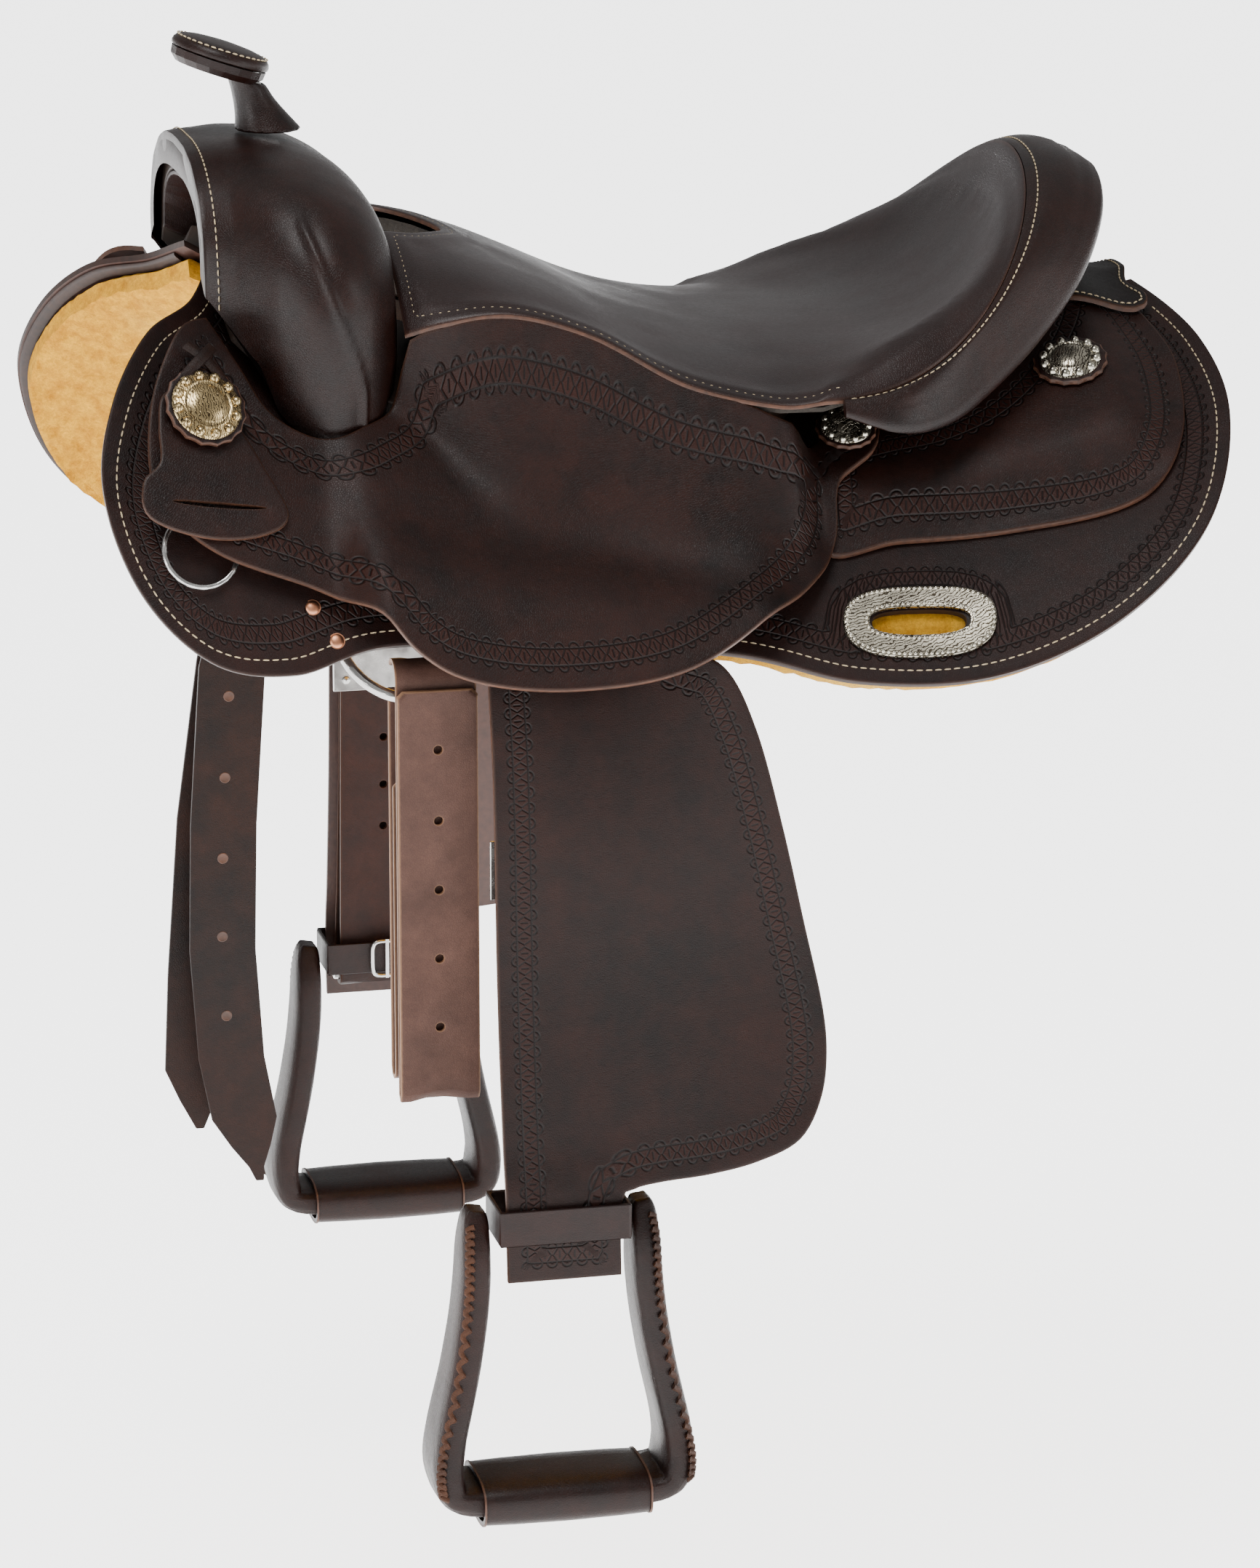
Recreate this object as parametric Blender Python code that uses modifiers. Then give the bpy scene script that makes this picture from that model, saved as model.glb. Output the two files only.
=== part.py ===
# Western saddle on its stand-in horse back: X to the saddle's rear, -Y the near (left) side, Z up.
# The origin lies on the horse's spine, under the lowest point of the seat.  Metres.
import bpy
import bmesh
import math
from mathutils import Vector
from mathutils.geometry import delaunay_2d_cdt

for old in list(bpy.data.objects):
    bpy.data.objects.remove(old, do_unlink=True)

NEAR, OFF = -1, 1

# layers above the horse's back
FLEECE = 0.0107
SKIRT_IN, SKIRT_OUT = 0.0126, 0.0168
BAR_IN, BAR_OUT = 0.0182, 0.0325
LEATHER = 0.0040
JOCKEY_LIFT = 0.0345          # underside of the jockeys over bars and stirrup leathers
LOBE_LIFT = 0.0260            # underside of the front lobe, over the breast-collar ring
BACK_LIFT = 0.0174            # underside of the back jockey's outer part
CANTLE_X0, CANTLE_LEN, CANTLE_HALF = 0.020, 0.154, 0.178
HINGE = (-0.140, -0.035)      # x and z of the fender hinge line, at the bar's slot
PIN = (-0.1515, 0.262, -0.415)   # stirrup bolt: x, half spacing, z
PI = math.pi


def smooth(a, b, v):
    u = min(1.0, max(0.0, (v - a) / (b - a)))
    return u * u * (3 - 2 * u)


def along(pts, v):
    """Monotone-x table read with a smooth curve through its points."""
    n = len(pts)
    if v <= pts[0][0]:
        return pts[0][1]
    for i in range(n - 1):
        if v <= pts[i + 1][0]:
            break
    else:
        return pts[-1][1]
    x0, y0 = pts[i]
    x1, y1 = pts[i + 1]
    ma = (y1 - pts[i - 1][1]) / (x1 - pts[i - 1][0]) if i else (y1 - y0) / (x1 - x0)
    mb = (pts[i + 2][1] - y0) / (pts[i + 2][0] - x0) if i + 2 < n else (y1 - y0) / (x1 - x0)
    h = x1 - x0
    u = (v - x0) / h
    return ((1 + 2 * u) * (1 - u) ** 2 * y0 + u * (1 - u) ** 2 * h * ma
            + u * u * (3 - 2 * u) * y1 + u * u * (u - 1) * h * mb)


def section(x):
    """Circular arc of the back at x: start angle, radius, arc centre (y, z)."""
    f = min(1.0, max(0.0, -x / 0.38)) ** 1.5
    r = min(1.0, max(0.0, x / 0.30)) ** 1.5
    b0 = math.radians(12 + 13 * f)
    b1 = math.radians(58 + 16 * f - 13 * r)
    rad = 0.30 / (b1 - b0)
    ridge = (0.66 if x > 0 else 1.0) * x * x
    return b0, rad, -rad * math.sin(b0), ridge - rad * math.cos(b0)


def back(x, t, off, side):
    """Point off above the back, t down its side from the spine."""
    b0, rad, cy, cz = section(x)
    b = b0 + t / rad
    return (x, side * (cy + (rad + off) * math.sin(b)), cz + (rad + off) * math.cos(b))


def unback(x, y, z):
    b0, rad, cy, cz = section(x)
    dy, dz = abs(y) - cy, z - cz
    return (math.atan2(dy, dz) - b0) * rad, math.hypot(dy, dz) - rad


def spline(pts, step, closed=True):
    """Catmull-Rom outline; a point carrying a third entry is a sharp corner."""
    n = len(pts)
    out = []
    last = n if closed else n - 1
    for i in range(last):
        a, b = pts[i], pts[(i + 1) % n]
        before = pts[i - 1] if (closed or i) else a
        after = pts[(i + 2) % n] if (closed or i + 2 < n) else b
        if len(a) > 2:
            before = a
        if len(b) > 2:
            after = b
        k = max(1, round(math.dist(a[:2], b[:2]) / step))
        for j in range(k):
            u = j / k
            c = [0.5 * (2 * a[d] + (b[d] - before[d]) * u
                        + (2 * before[d] - 5 * a[d] + 4 * b[d] - after[d]) * u * u
                        + (3 * a[d] - before[d] - 3 * b[d] + after[d]) * u ** 3) for d in (0, 1)]
            out.append(tuple(c))
    if not closed:
        out.append(tuple(pts[-1][:2]))
    return out


def inside(p, loop):
    x, y = p
    hit = False
    for i in range(len(loop)):
        (x0, y0), (x1, y1) = loop[i - 1], loop[i]
        if (y0 > y) != (y1 > y) and x < (x1 - x0) * (y - y0) / (y1 - y0) + x0:
            hit = not hit
    return hit


def fill(outline, holes, step):
    """Triangles over an outline with holes, with a regular grid of points between."""
    loops = [outline] + holes
    pts, edges = [], []
    for loop in loops:
        s = len(pts)
        pts += loop
        edges += [(s + i, s + (i + 1) % len(loop)) for i in range(len(loop))]
    rim = list(pts)
    xs = [p[0] for p in outline]
    ys = [p[1] for p in outline]
    row = 0
    y = min(ys) + step * 0.5
    while y < max(ys):
        x = min(xs) + step * (0.5 if row % 2 else 1.0)
        while x < max(xs):
            if (inside((x, y), outline) and not any(inside((x, y), h) for h in holes)
                    and min((x - a) ** 2 + (y - b) ** 2 for a, b in rim) > (0.6 * step) ** 2):
                pts.append((x, y))
            x += step
        y += step * 0.866
        row += 1
    vs, _, fs, _, _, _ = delaunay_2d_cdt([Vector(p) for p in pts], edges, [], 0, 1e-7)
    tris = []
    for f in fs:
        c = (sum(vs[i][0] for i in f) / 3, sum(vs[i][1] for i in f) / 3)
        if inside(c, outline) and not any(inside(c, h) for h in holes):
            tris.append(tuple(f))
    return [tuple(v) for v in vs], tris


palette = {}


def material(kind):
    if kind not in palette:
        colour, metal, rough = FINISH[kind]
        m = bpy.data.materials.new(kind)
        m.use_nodes = True
        b = m.node_tree.nodes["Principled BSDF"]
        b.inputs["Base Color"].default_value = (*colour, 1)
        b.inputs["Metallic"].default_value = metal
        b.inputs["Roughness"].default_value = rough
        palette[kind] = m
    return palette[kind]


FINISH = {
    "dark_leather": ((0.045, 0.018, 0.012), 0, 0.42),
    "seat_hide": ((0.050, 0.024, 0.018), 0, 0.34),
    "oiled_leather": ((0.120, 0.055, 0.038), 0, 0.55),
    "raw_leather": ((0.220, 0.090, 0.050), 0, 0.70),
    "fleece": ((0.80, 0.52, 0.16), 0, 0.95),
    "foam": ((0.60, 0.56, 0.44), 0, 0.90),
    "tree_wood": ((0.62, 0.47, 0.30), 0, 0.65),
    "silver": ((0.75, 0.72, 0.66), 1, 0.25),
    "stainless": ((0.62, 0.61, 0.60), 1, 0.25),
    "copper": ((0.78, 0.38, 0.24), 1, 0.35),
}

home = bpy.data.collections.new("western_saddle")
bpy.context.scene.collection.children.link(home)


def settle(ob, name, kind, origin=None, angle=40):
    """Name, colour and shade an object, and move its origin to its joint."""
    me = ob.data
    ob.name = me.name = name
    if origin is not None:
        move = ob.matrix_world.copy()
        move.translation -= Vector(origin)
        me.transform(move)
        ob.matrix_world.identity()
        ob.location = origin
    me.shade_smooth()
    me.set_sharp_from_angle(angle=math.radians(angle))
    me.materials.clear()
    me.materials.append(material(kind))
    for c in list(ob.users_collection):
        c.objects.unlink(ob)
    home.objects.link(ob)
    return ob


def build(name, verts, faces, kind, origin=(0, 0, 0), angle=40, closed=True):
    me = bpy.data.meshes.new(name)
    me.from_pydata([tuple(v[i] - origin[i] for i in range(3)) for v in verts], [], faces)
    if closed:
        bm = bmesh.new()
        bm.from_mesh(me)
        bmesh.ops.recalc_face_normals(bm, faces=bm.faces)
        bmesh.ops.triangulate(bm, faces=[f for f in bm.faces if len(f.verts) > 4])
        bm.to_mesh(me)
        bm.free()
    ob = bpy.data.objects.new(name, me)
    ob.location = origin
    home.objects.link(ob)
    return settle(ob, name, kind, None, angle)


def thicken(ob, thick, side=1.0):
    """Solidify an open sheet; side 1 grows it along its normals, 0 keeps it in the middle."""
    mod = ob.modifiers.new("thickness", "SOLIDIFY")
    mod.thickness, mod.offset, mod.use_rim = thick, side, True
    mod.use_quality_normals = True
    return ob


def panel(name, tri2d, place, thick, kind, origin=(0, 0, 0)):
    """Leather of even thickness over flat triangles; place(u, v, rise) lays them in space."""
    pts, tris = tri2d
    a, b, c = (Vector(place(*pts[i], 0.0)) for i in tris[0])
    up = Vector(place(*pts[tris[0][0]], 0.01)) - a
    if (b - a).cross(c - a).dot(up) < 0:
        tris = [t[::-1] for t in tris]
    ob = build(name, [place(*p, 0.0) for p in pts], tris, kind, origin, closed=False)
    return thicken(ob, thick)


def shell(tri2d, lower, upper):
    """Closed body between two faces laid over the same flat triangles."""
    pts, tris = tri2d
    n = len(pts)
    verts = [lower(*p) for p in pts] + [upper(*p) for p in pts]
    faces = [(c, b, a) for a, b, c in tris] + [(a + n, b + n, c + n) for a, b, c in tris]
    count = {}
    for t in tris:
        for i in range(3):
            e = (t[i], t[(i + 1) % 3])
            count[e] = 1
    for a, b in count:
        if (b, a) not in count:
            faces.append((a, b, b + n, a + n))
    return verts, faces


def loft(rings, loop=False):
    """Skin over closed rings of equal length; ends capped unless the rings run in a loop."""
    m = len(rings[0])
    verts = [p for r in rings for p in r]
    faces = []
    n = len(rings)
    for i in range(n if loop else n - 1):
        for j in range(m):
            a, b = i * m + j, i * m + (j + 1) % m
            c, d = ((i + 1) % n) * m + (j + 1) % m, ((i + 1) % n) * m + j
            faces.append((a, b, c, d))
    if not loop:
        faces += [tuple(range(m))[::-1], tuple((n - 1) * m + j for j in range(m))]
    return verts, faces


def aim(ob, centre, axis):
    ob.rotation_mode = "QUATERNION"
    ob.rotation_quaternion = Vector(axis).to_track_quat("Z", "X")
    ob.location = centre
    bpy.context.view_layer.update()
    return ob


def turned(name, profile, centre, axis, kind, steps=20, close=False, angle=40):
    """Turned piece: profile of (radius, height), top to bottom on its outer side."""
    me = bpy.data.meshes.new(name)
    n = len(profile)
    me.from_pydata([(r, 0, h) for r, h in profile], [(i, (i + 1) % n) for i in range(n if close else n - 1)], [])
    ob = bpy.data.objects.new(name, me)
    home.objects.link(ob)
    mod = ob.modifiers.new("turn", "SCREW")
    mod.axis, mod.angle, mod.steps, mod.render_steps = "Z", 2 * PI, steps, steps
    mod.use_merge_vertices, mod.merge_threshold, mod.use_smooth_shade = True, 0.00001, True
    me.materials.append(material(kind))
    return aim(ob, centre, axis)


def ring(name, centre, u, v, radius, wire, kind, origin, n=24, m=8):
    """Round ring in the plane of u and v."""
    bpy.ops.mesh.primitive_torus_add(major_radius=radius, minor_radius=wire, major_segments=n,
                                     minor_segments=m)
    ob = aim(bpy.context.object, centre, Vector(u).cross(Vector(v)))
    return settle(ob, name, kind, origin)


def brick(name, low, high, kind, origin):
    bpy.ops.mesh.primitive_cube_add(size=1)
    ob = bpy.context.object
    ob.scale = [abs(b - a) for a, b in zip(low, high)]
    ob.location = [(a + b) / 2 for a, b in zip(low, high)]
    bpy.context.view_layer.update()
    return settle(ob, name, kind, origin)


def strap(name, path, thick, x0, x1, kind, origin):
    """Strap of even thickness running along a (y, z) path, x0 to x1 wide."""
    verts, faces = [], []
    for i, (y, z) in enumerate(path):
        verts += [(x0, y, z), (x1, y, z)]
        if i:
            faces.append((2 * i - 2, 2 * i - 1, 2 * i + 1, 2 * i))
    return thicken(build(name, verts, faces, kind, origin, closed=False), thick, 0.0)


def bend(centre, radius, a0, a1, k=8):
    return [(centre[0] + radius * math.cos(math.radians(a0 + (a1 - a0) * i / k)),
             centre[1] + radius * math.sin(math.radians(a0 + (a1 - a0) * i / k))) for i in range(k + 1)]


# ---- the seat's own shape -------------------------------------------------------------------
SEAM = [(-0.207, 0.130, 0.064), (-0.190, 0.137, 0.070), (-0.150, 0.143, 0.075), (-0.104, 0.150, 0.062),
        (-0.055, 0.165, 0.036), (-0.004, 0.175, 0.024), (0.020, 0.178, 0.026)]
SEAM_Y = [(p[0], p[1]) for p in SEAM]
SEAM_Z = [(p[0], p[2]) for p in SEAM]
KEEL = [(-0.210, 0.114), (-0.160, 0.099), (-0.110, 0.079), (-0.070, 0.061), (-0.020, 0.049),
        (0.030, 0.046), (0.080, 0.048), (0.180, 0.060)]
SEAM_T = [(p[0], unback(*p)[0]) for p in SEAM]
SEAM_O = [(p[0], unback(*p)[1]) for p in SEAM]


def rim_r(x, y):
    """0 on the seat's centre, 1 on the seam round its edge."""
    half = along(SEAM_Y, x)
    if x <= CANTLE_X0:
        return abs(y) / half
    return (((x - CANTLE_X0) / CANTLE_LEN) ** 2.2 + (abs(y) / CANTLE_HALF) ** 2.2) ** (1 / 2.2)


def cantle_seam(s):
    """Seam behind the seat, s from -1 (near) to 1 (off)."""
    a = (1 - abs(s)) * PI / 2
    c = max(0.0, math.cos(a)) ** (2 / 2.2)
    return (CANTLE_X0 + CANTLE_LEN * math.sin(a) ** (2 / 2.2), math.copysign(CANTLE_HALF * c, s),
            0.026 + 0.111 * (1 - c ** 1.9))


def seat_top(x, y):
    r = min(1.0, rim_r(x, y))
    if x <= CANTLE_X0:
        lift = along(KEEL, x) - along(SEAM_Z, x)
        return along(KEEL, x) - lift * r ** 2.4
    a = min(1.0, abs(y) / CANTLE_HALF)
    floor = along(KEEL, x) - (along(KEEL, CANTLE_X0) - 0.026) * a ** 2.4
    wall = 0.026 + 0.111 * (1 - a ** 1.9)
    puff = 0.014 * math.exp(-((r - 0.90) / 0.09) ** 2) * a * smooth(0.03, 0.09, x) * (1 - r ** 8)
    return floor + (wall - floor) * smooth(0, 0.05, x - CANTLE_X0) ** (1 - r ** 4) * r ** 4.5 + puff


def slope(f, x, y):
    e = 0.002
    return math.hypot(f(x + e, y) - f(x - e, y), f(x, y + e) - f(x, y - e)) / (2 * e)


def mirrored(half):
    return half + [(p[0], -p[1], *p[2:]) for p in reversed(half) if p[1]]


def seat_outline(inset):
    """Plan of the seat: hand hole in front, seam down the sides, cantle behind."""
    near = [(p[0] + (inset if i == 0 else 0), inset - p[1]) for i, p in enumerate(SEAM)]
    near[0] = (*near[0], "corner")
    for i in range(1, 12):
        x, y, _ = cantle_seam(i / 12 - 1)
        near.append((CANTLE_X0 + (x - CANTLE_X0) * (1 - inset / CANTLE_LEN), y * (1 - inset / CANTLE_HALF)))
    near.append((CANTLE_X0 + CANTLE_LEN - inset, 0))
    return mirrored(near) + hand_hole(inset)


def hand_hole(inset):
    return [(-0.205 + inset, 0.050 + inset, "corner"), (-0.182, 0.040 + inset), (-0.161 + inset, 0),
            (-0.182, -0.040 - inset), (-0.205 + inset, -0.050 - inset, "corner")]


def ground_outline():
    near = [(-0.193, -0.112, "corner"), (-0.150, -0.126), (-0.100, -0.132), (-0.050, -0.142),
            (-0.008, -0.132), (0.022, -0.096), (0.060, -0.082), (0.094, -0.052), (0.106, 0)]
    return mirrored(near) + hand_hole(0.012)


def slab(name, outline, lower, upper, kind, step=0.028):
    flat = fill(spline(outline, step * 0.75), [], step)
    verts, faces = shell(flat, lambda x, y: (x, y, lower(x, y)), lambda x, y: (x, y, upper(x, y)))
    return build(name, verts, faces, kind)


def under_hide(x, y, gap=0.0):
    """Underside of the seat hide."""
    return seat_top(x, y) - (0.0026 + gap) * min(2.2, math.hypot(1, slope(seat_top, x, y)))


def under_foam(x, y, gap=0.0):
    return under_hide(x, y) - (0.0108 - 0.0062 * rim_r(x, y) ** 2) * min(
        1.8, math.hypot(1, slope(seat_top, x, y))) - gap


def bed(x, y, off=JOCKEY_LIFT - 0.0007, flat=0.035):
    """Height of the bars' tops, spanned flat over the channel between them."""
    y = max(abs(y), flat)
    b0, rad, cy, cz = section(x)
    return cz + math.sqrt(max(1e-9, (rad + off) ** 2 - (y - cy) ** 2))


slab("seat_leather", seat_outline(0.0), under_hide, seat_top, "seat_hide", 0.022)
slab("seat_foam", seat_outline(0.0065), lambda x, y: under_foam(x, y),
     lambda x, y: under_hide(x, y, 0.0030), "foam")
slab("ground_seat", ground_outline(),
     lambda x, y: min(bed(x, y) + 0.0018, under_foam(x, y, 0.0074)),
     lambda x, y: under_foam(x, y, 0.0034), "tree_wood")


# ---- cantle and its roll --------------------------------------------------------------------
def rear_lift(x, t):
    """Underside of the back jockey: over the bars, down to the skirt beyond them."""
    on_bar = (1 - smooth(0.144, 0.184, t)) * (1 - smooth(0.196, 0.240, x))
    return BACK_LIFT + (BAR_OUT + 0.0014 - BACK_LIFT) * on_bar


ROLL = [(0.020, 0.184, 0.025), (0.059, 0.185, 0.017), (0.094, 0.171, 0.020), (0.125, 0.150, 0.034),
        (0.157, 0.125, 0.054), (0.187, 0.100, 0.081), (0.208, 0.070, 0.109), (0.216, 0.035, 0.126),
        (0.213, 0.000, 0.131)]


def roll_edge(s):
    """Outer edge of the roll, s from -1 to 1."""
    k = (1 - abs(s)) * (len(ROLL) - 1)
    x, y, z = (along([(i, p[d]) for i, p in enumerate(ROLL)], k) for d in range(3))
    return Vector((x, math.copysign(y, s), z))


def roll_ring(s):
    p = Vector(cantle_seam(s))
    q = roll_edge(s)
    out = (q - p)
    wide = min(1.0, out.length / 0.02)
    n = Vector((0.25 * out.x, 0.25 * out.y, 1)).normalized()
    p = p + out.normalized() * 0.0008
    th = 0.003 + 0.009 * wide
    top = [p.lerp(q, u) + n * 0.004 * math.sin(PI * u) * wide for u in (0, 0.3, 0.6, 0.85)]
    tip = [q - n * th * 0.15, q - n * th * 0.6 - out * 0.02]
    low = [p.lerp(q, 0.8) - n * th, p.lerp(q, 0.4) - n * th, p - n * th * 0.9]
    return [tuple(v) for v in top + tip + low]


ROLL_STEPS = [-0.97 + 1.94 * i / 26 for i in range(27)]
verts, faces = loft([roll_ring(s) for s in ROLL_STEPS])
build("cantle_roll", verts, faces, "dark_leather")

BASE = [(0.030, 0.146), (0.070, 0.140), (0.110, 0.124), (0.150, 0.096), (0.182, 0.062), (0.200, 0.030),
        (0.204, 0.000)]


def base_point(k):
    """Foot of the cantle on the back jockeys, k from 0 (side) to 1 (centre)."""
    u = k * (len(BASE) - 1)
    return along([(i, p[0]) for i, p in enumerate(BASE)], u), along([(i, p[1]) for i, p in enumerate(BASE)], u)


def wall_ring(s, skin, thick, top=0.0):
    """Section through the cantle's back wall at s: top under the roll, foot on the back jockeys."""
    k = 1 - abs(s)
    ring_pts = [Vector(v) for v in roll_ring(s)]
    head = ring_pts[-2].lerp(ring_pts[-1], 0.1) - Vector((0, 0, 0.0014))
    bx, by = base_point(k)
    foot = Vector((bx, math.copysign(by, s), bed(bx, by, rear_lift(bx, by + 0.008) + LEATHER + 0.0022, 0.003)))
    out = (foot - head)
    run = out.normalized()
    a = (1 - abs(s)) * PI / 2
    plan = Vector((math.sin(a), math.copysign(math.cos(a), s), 0.15))
    n = (plan - run * plan.dot(run)).normalized()
    rows = []
    for i in range(4):
        u = top + (1 - top) * i / 3
        rows.append(head.lerp(foot, u) + n * (skin - 0.006 * math.sin(PI * u)))
    return [tuple(p) for p in rows] + [tuple(p - n * thick) for p in reversed(rows)]


WALL_STEPS = [-0.80 + 1.60 * i / 22 for i in range(23)]
verts, faces = loft([wall_ring(s, 0.0, 0.003) for s in WALL_STEPS])
build("cantle_back", verts, faces, "dark_leather")

verts, faces = loft([wall_ring(s, -0.0052, 0.0075, 0.30) for s in WALL_STEPS[1:-1]])
build("tree_cantle", verts, faces, "tree_wood")


# ---- sheets laid on the back ----------------------------------------------------------------
def jockey_lift(x, t):
    """Underside of the seat jockey: over the bars and leathers, up the wall to the seat seam."""
    lobe = LOBE_LIFT + (JOCKEY_LIFT - LOBE_LIFT) * (1 - smooth(0.125, 0.165, t))
    mid = JOCKEY_LIFT + 0.0120 * smooth(0.180, 0.235, t)
    tail = rear_lift(x, t) + LEATHER + 0.0015
    h = lobe + (mid - lobe) * smooth(-0.262, -0.235, x)
    h = h + (tail - h) * smooth(-0.030, 0.024, x)
    xs = max(-0.206, min(0.018, x))
    ts, top = along(SEAM_T, xs), along(SEAM_O, xs) - 0.0048 - 0.0115 * smooth(-0.030, 0.010, x)
    reach = 0.030 + 0.060 * smooth(-0.207, -0.150, x)
    fade = max(0.0, 1 - max(0.0, t - ts) / reach) ** 2 * (1 - smooth(0.000, 0.024, x))
    if x < -0.206:
        fade *= 1 - smooth(0, 0.014, -0.206 - x)
    return h + (top - h) * fade


def sheet(name, outline, lift, thick, side, kind, holes=(), step=0.022):
    flat = fill(spline(outline, step * 0.7), [list(h) for h in holes], step)
    rise = lift if callable(lift) else (lambda x, t: lift)
    return panel(name, flat, lambda x, t, up: back(x, t, rise(x, t) + up, side), thick, kind)


def oblong(cx, ct, a, b, turn, n=20):
    """Stadium-like outline in the (x, t) sheet, half sizes a and b."""
    out = []
    for i in range(n):
        w = 2 * PI * i / n
        c, s = math.cos(w), math.sin(w)
        u = a * math.copysign(abs(c) ** 0.72, c)
        v = b * math.copysign(abs(s) ** 0.80, s)
        out.append((cx + u * math.cos(turn) - v * math.sin(turn), ct + u * math.sin(turn) + v * math.cos(turn)))
    return out


SKIRT = [(-0.302, 0.036, 1), (-0.318, 0.078), (-0.347, 0.120), (-0.372, 0.178), (-0.382, 0.232),
         (-0.366, 0.277), (-0.330, 0.297), (-0.285, 0.286), (-0.231, 0.254), (-0.140, 0.234),
         (-0.043, 0.236), (0.028, 0.258), (0.106, 0.269), (0.179, 0.257), (0.234, 0.221), (0.262, 0.158),
         (0.264, 0.088), (0.248, 0.006, 1), (0.205, 0.006), (0.150, 0.028), (0.050, 0.032), (-0.200, 0.034)]
FLEECE_EDGE = [(-0.300, 0.040, 1), (-0.314, 0.078), (-0.342, 0.122), (-0.367, 0.180), (-0.377, 0.231),
               (-0.362, 0.272), (-0.329, 0.291), (-0.290, 0.283), (-0.278, 0.276, 1), (-0.272, 0.180, 1),
               (-0.250, 0.140, 1), (-0.184, 0.140, 1), (-0.166, 0.180, 1), (-0.166, 0.228, 1),
               (-0.140, 0.229), (-0.043, 0.230), (0.028, 0.252), (0.106, 0.263), (0.176, 0.252),
               (0.229, 0.218), (0.256, 0.157), (0.258, 0.090), (0.243, 0.010, 1), (0.205, 0.010),
               (0.150, 0.032), (0.050, 0.036), (-0.200, 0.038)]
BAR = [(-0.300, 0.050), (-0.285, 0.034), (-0.200, 0.036), (0.100, 0.040), (0.170, 0.040), (0.194, 0.058),
       (0.190, 0.106), (0.160, 0.126), (0.080, 0.130), (-0.080, 0.130, 1), (-0.090, 0.114, 1),
       (-0.180, 0.112), (-0.250, 0.112), (-0.280, 0.110), (-0.298, 0.096)]
BACK_JOCKEY = [(0.024, 0.116, 1), (0.021, 0.178), (0.065, 0.179), (0.130, 0.187), (0.188, 0.193),
               (0.216, 0.184), (0.235, 0.155), (0.244, 0.108), (0.242, 0.070), (0.232, 0.003, 1),
               (0.1900, 0.003, 1), (0.186, 0.033), (0.168, 0.066), (0.134, 0.096), (0.100, 0.108),
               (0.064, 0.110)]
SEAT_JOCKEY = [(-0.3145, 0.106, 1), (-0.331, 0.122), (-0.350, 0.165), (-0.357, 0.208), (-0.350, 0.229),
               (-0.323, 0.240), (-0.273, 0.239), (-0.243, 0.246), (-0.222, 0.265), (-0.194, 0.274),
               (-0.139, 0.272), (-0.072, 0.258), (-0.015, 0.224), (0.014, 0.198), (0.026, 0.179),
               (0.029, 0.168), (0.030, 0.158), (0.034, 0.148), (0.045, 0.140), (0.056, 0.132), (0.063, 0.120),
               (0.062, 0.107), (0.050, 0.098)]
NOTCH = [(-0.206, 0.108), (-0.214, 0.126), (-0.228, 0.139), (-0.246, 0.152), (-0.268, 0.155),
         (-0.289, 0.149), (-0.303, 0.130)]
seam_run = [(p[0], unback(*p)[0] + 0.001) for p in SEAM[:-1]]
SEAT_JOCKEY += [(0.012, unback(0.012, 0.178, 0.025)[0] - 0.002, 1)] + seam_run[:0:-1] + [
    (seam_run[0][0] + 0.003, seam_run[0][1] + 0.001, 1)] + NOTCH
SLOT_AT, SLOT_TURN = (0.066, 0.2290), 0.17

for side, tag in ((NEAR, "near"), (OFF, "off")):
    slot = oblong(*SLOT_AT, 0.0265, 0.0078, SLOT_TURN)
    sheet("fleece_" + tag, FLEECE_EDGE, 0.0, FLEECE, side, "fleece", step=0.036)
    sheet("skirt_" + tag, SKIRT, SKIRT_IN, SKIRT_OUT - SKIRT_IN, side, "dark_leather", [slot], step=0.034)
    sheet("tree_bar_" + tag, BAR, BAR_IN, BAR_OUT - BAR_IN, side, "tree_wood", step=0.034)
    sheet("back_jockey_" + tag, BACK_JOCKEY, rear_lift, LEATHER, side, "dark_leather", step=0.026)
    sheet("seat_jockey_" + tag, SEAT_JOCKEY, jockey_lift, LEATHER, side, "dark_leather", step=0.023)
    sheet("slot_plate_" + tag, oblong(*SLOT_AT, 0.0430, 0.0215, SLOT_TURN), SKIRT_OUT + 0.0005, 0.0022, side,
          "silver", [oblong(*SLOT_AT, 0.0285, 0.0085, SLOT_TURN)], step=0.012)

# keepers for the latigo's tail, hung under the front conchos
KEEPER = [(-0.324, 0.150), (-0.345, 0.166), (-0.350, 0.186), (-0.3515, 0.206), (-0.362, 0.222),
          (-0.360, 0.239), (-0.330, 0.236), (-0.300, 0.223), (-0.283, 0.206), (-0.293, 0.184), (-0.306, 0.164)]


def slit(n=16):
    return [(-0.321 + 0.026 * math.cos(2 * PI * i / n), 0.2155 - 0.35 * 0.026 * math.cos(2 * PI * i / n)
             + 0.0014 * math.sin(2 * PI * i / n)) for i in range(n)]


for side, tag in ((NEAR, "near"), (OFF, "off")):
    sheet("latigo_keeper_" + tag, KEEPER, lambda x, t: jockey_lift(x, t) + LEATHER + 0.0012, 0.0032, side,
          "dark_leather", [slit()], step=0.014)

# plate of leather over the joint of the two back jockeys
PLATE = [(0.196, -0.054), (0.208, -0.030), (0.212, 0.000), (0.208, 0.030), (0.196, 0.054), (0.236, 0.060),
         (0.2445, 0.050), (0.2390, 0.030), (0.2435, 0.010), (0.2435, -0.010), (0.2390, -0.030),
         (0.2445, -0.050), (0.236, -0.060)]
flat = fill(spline(PLATE, 0.012), [], 0.014)


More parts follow.
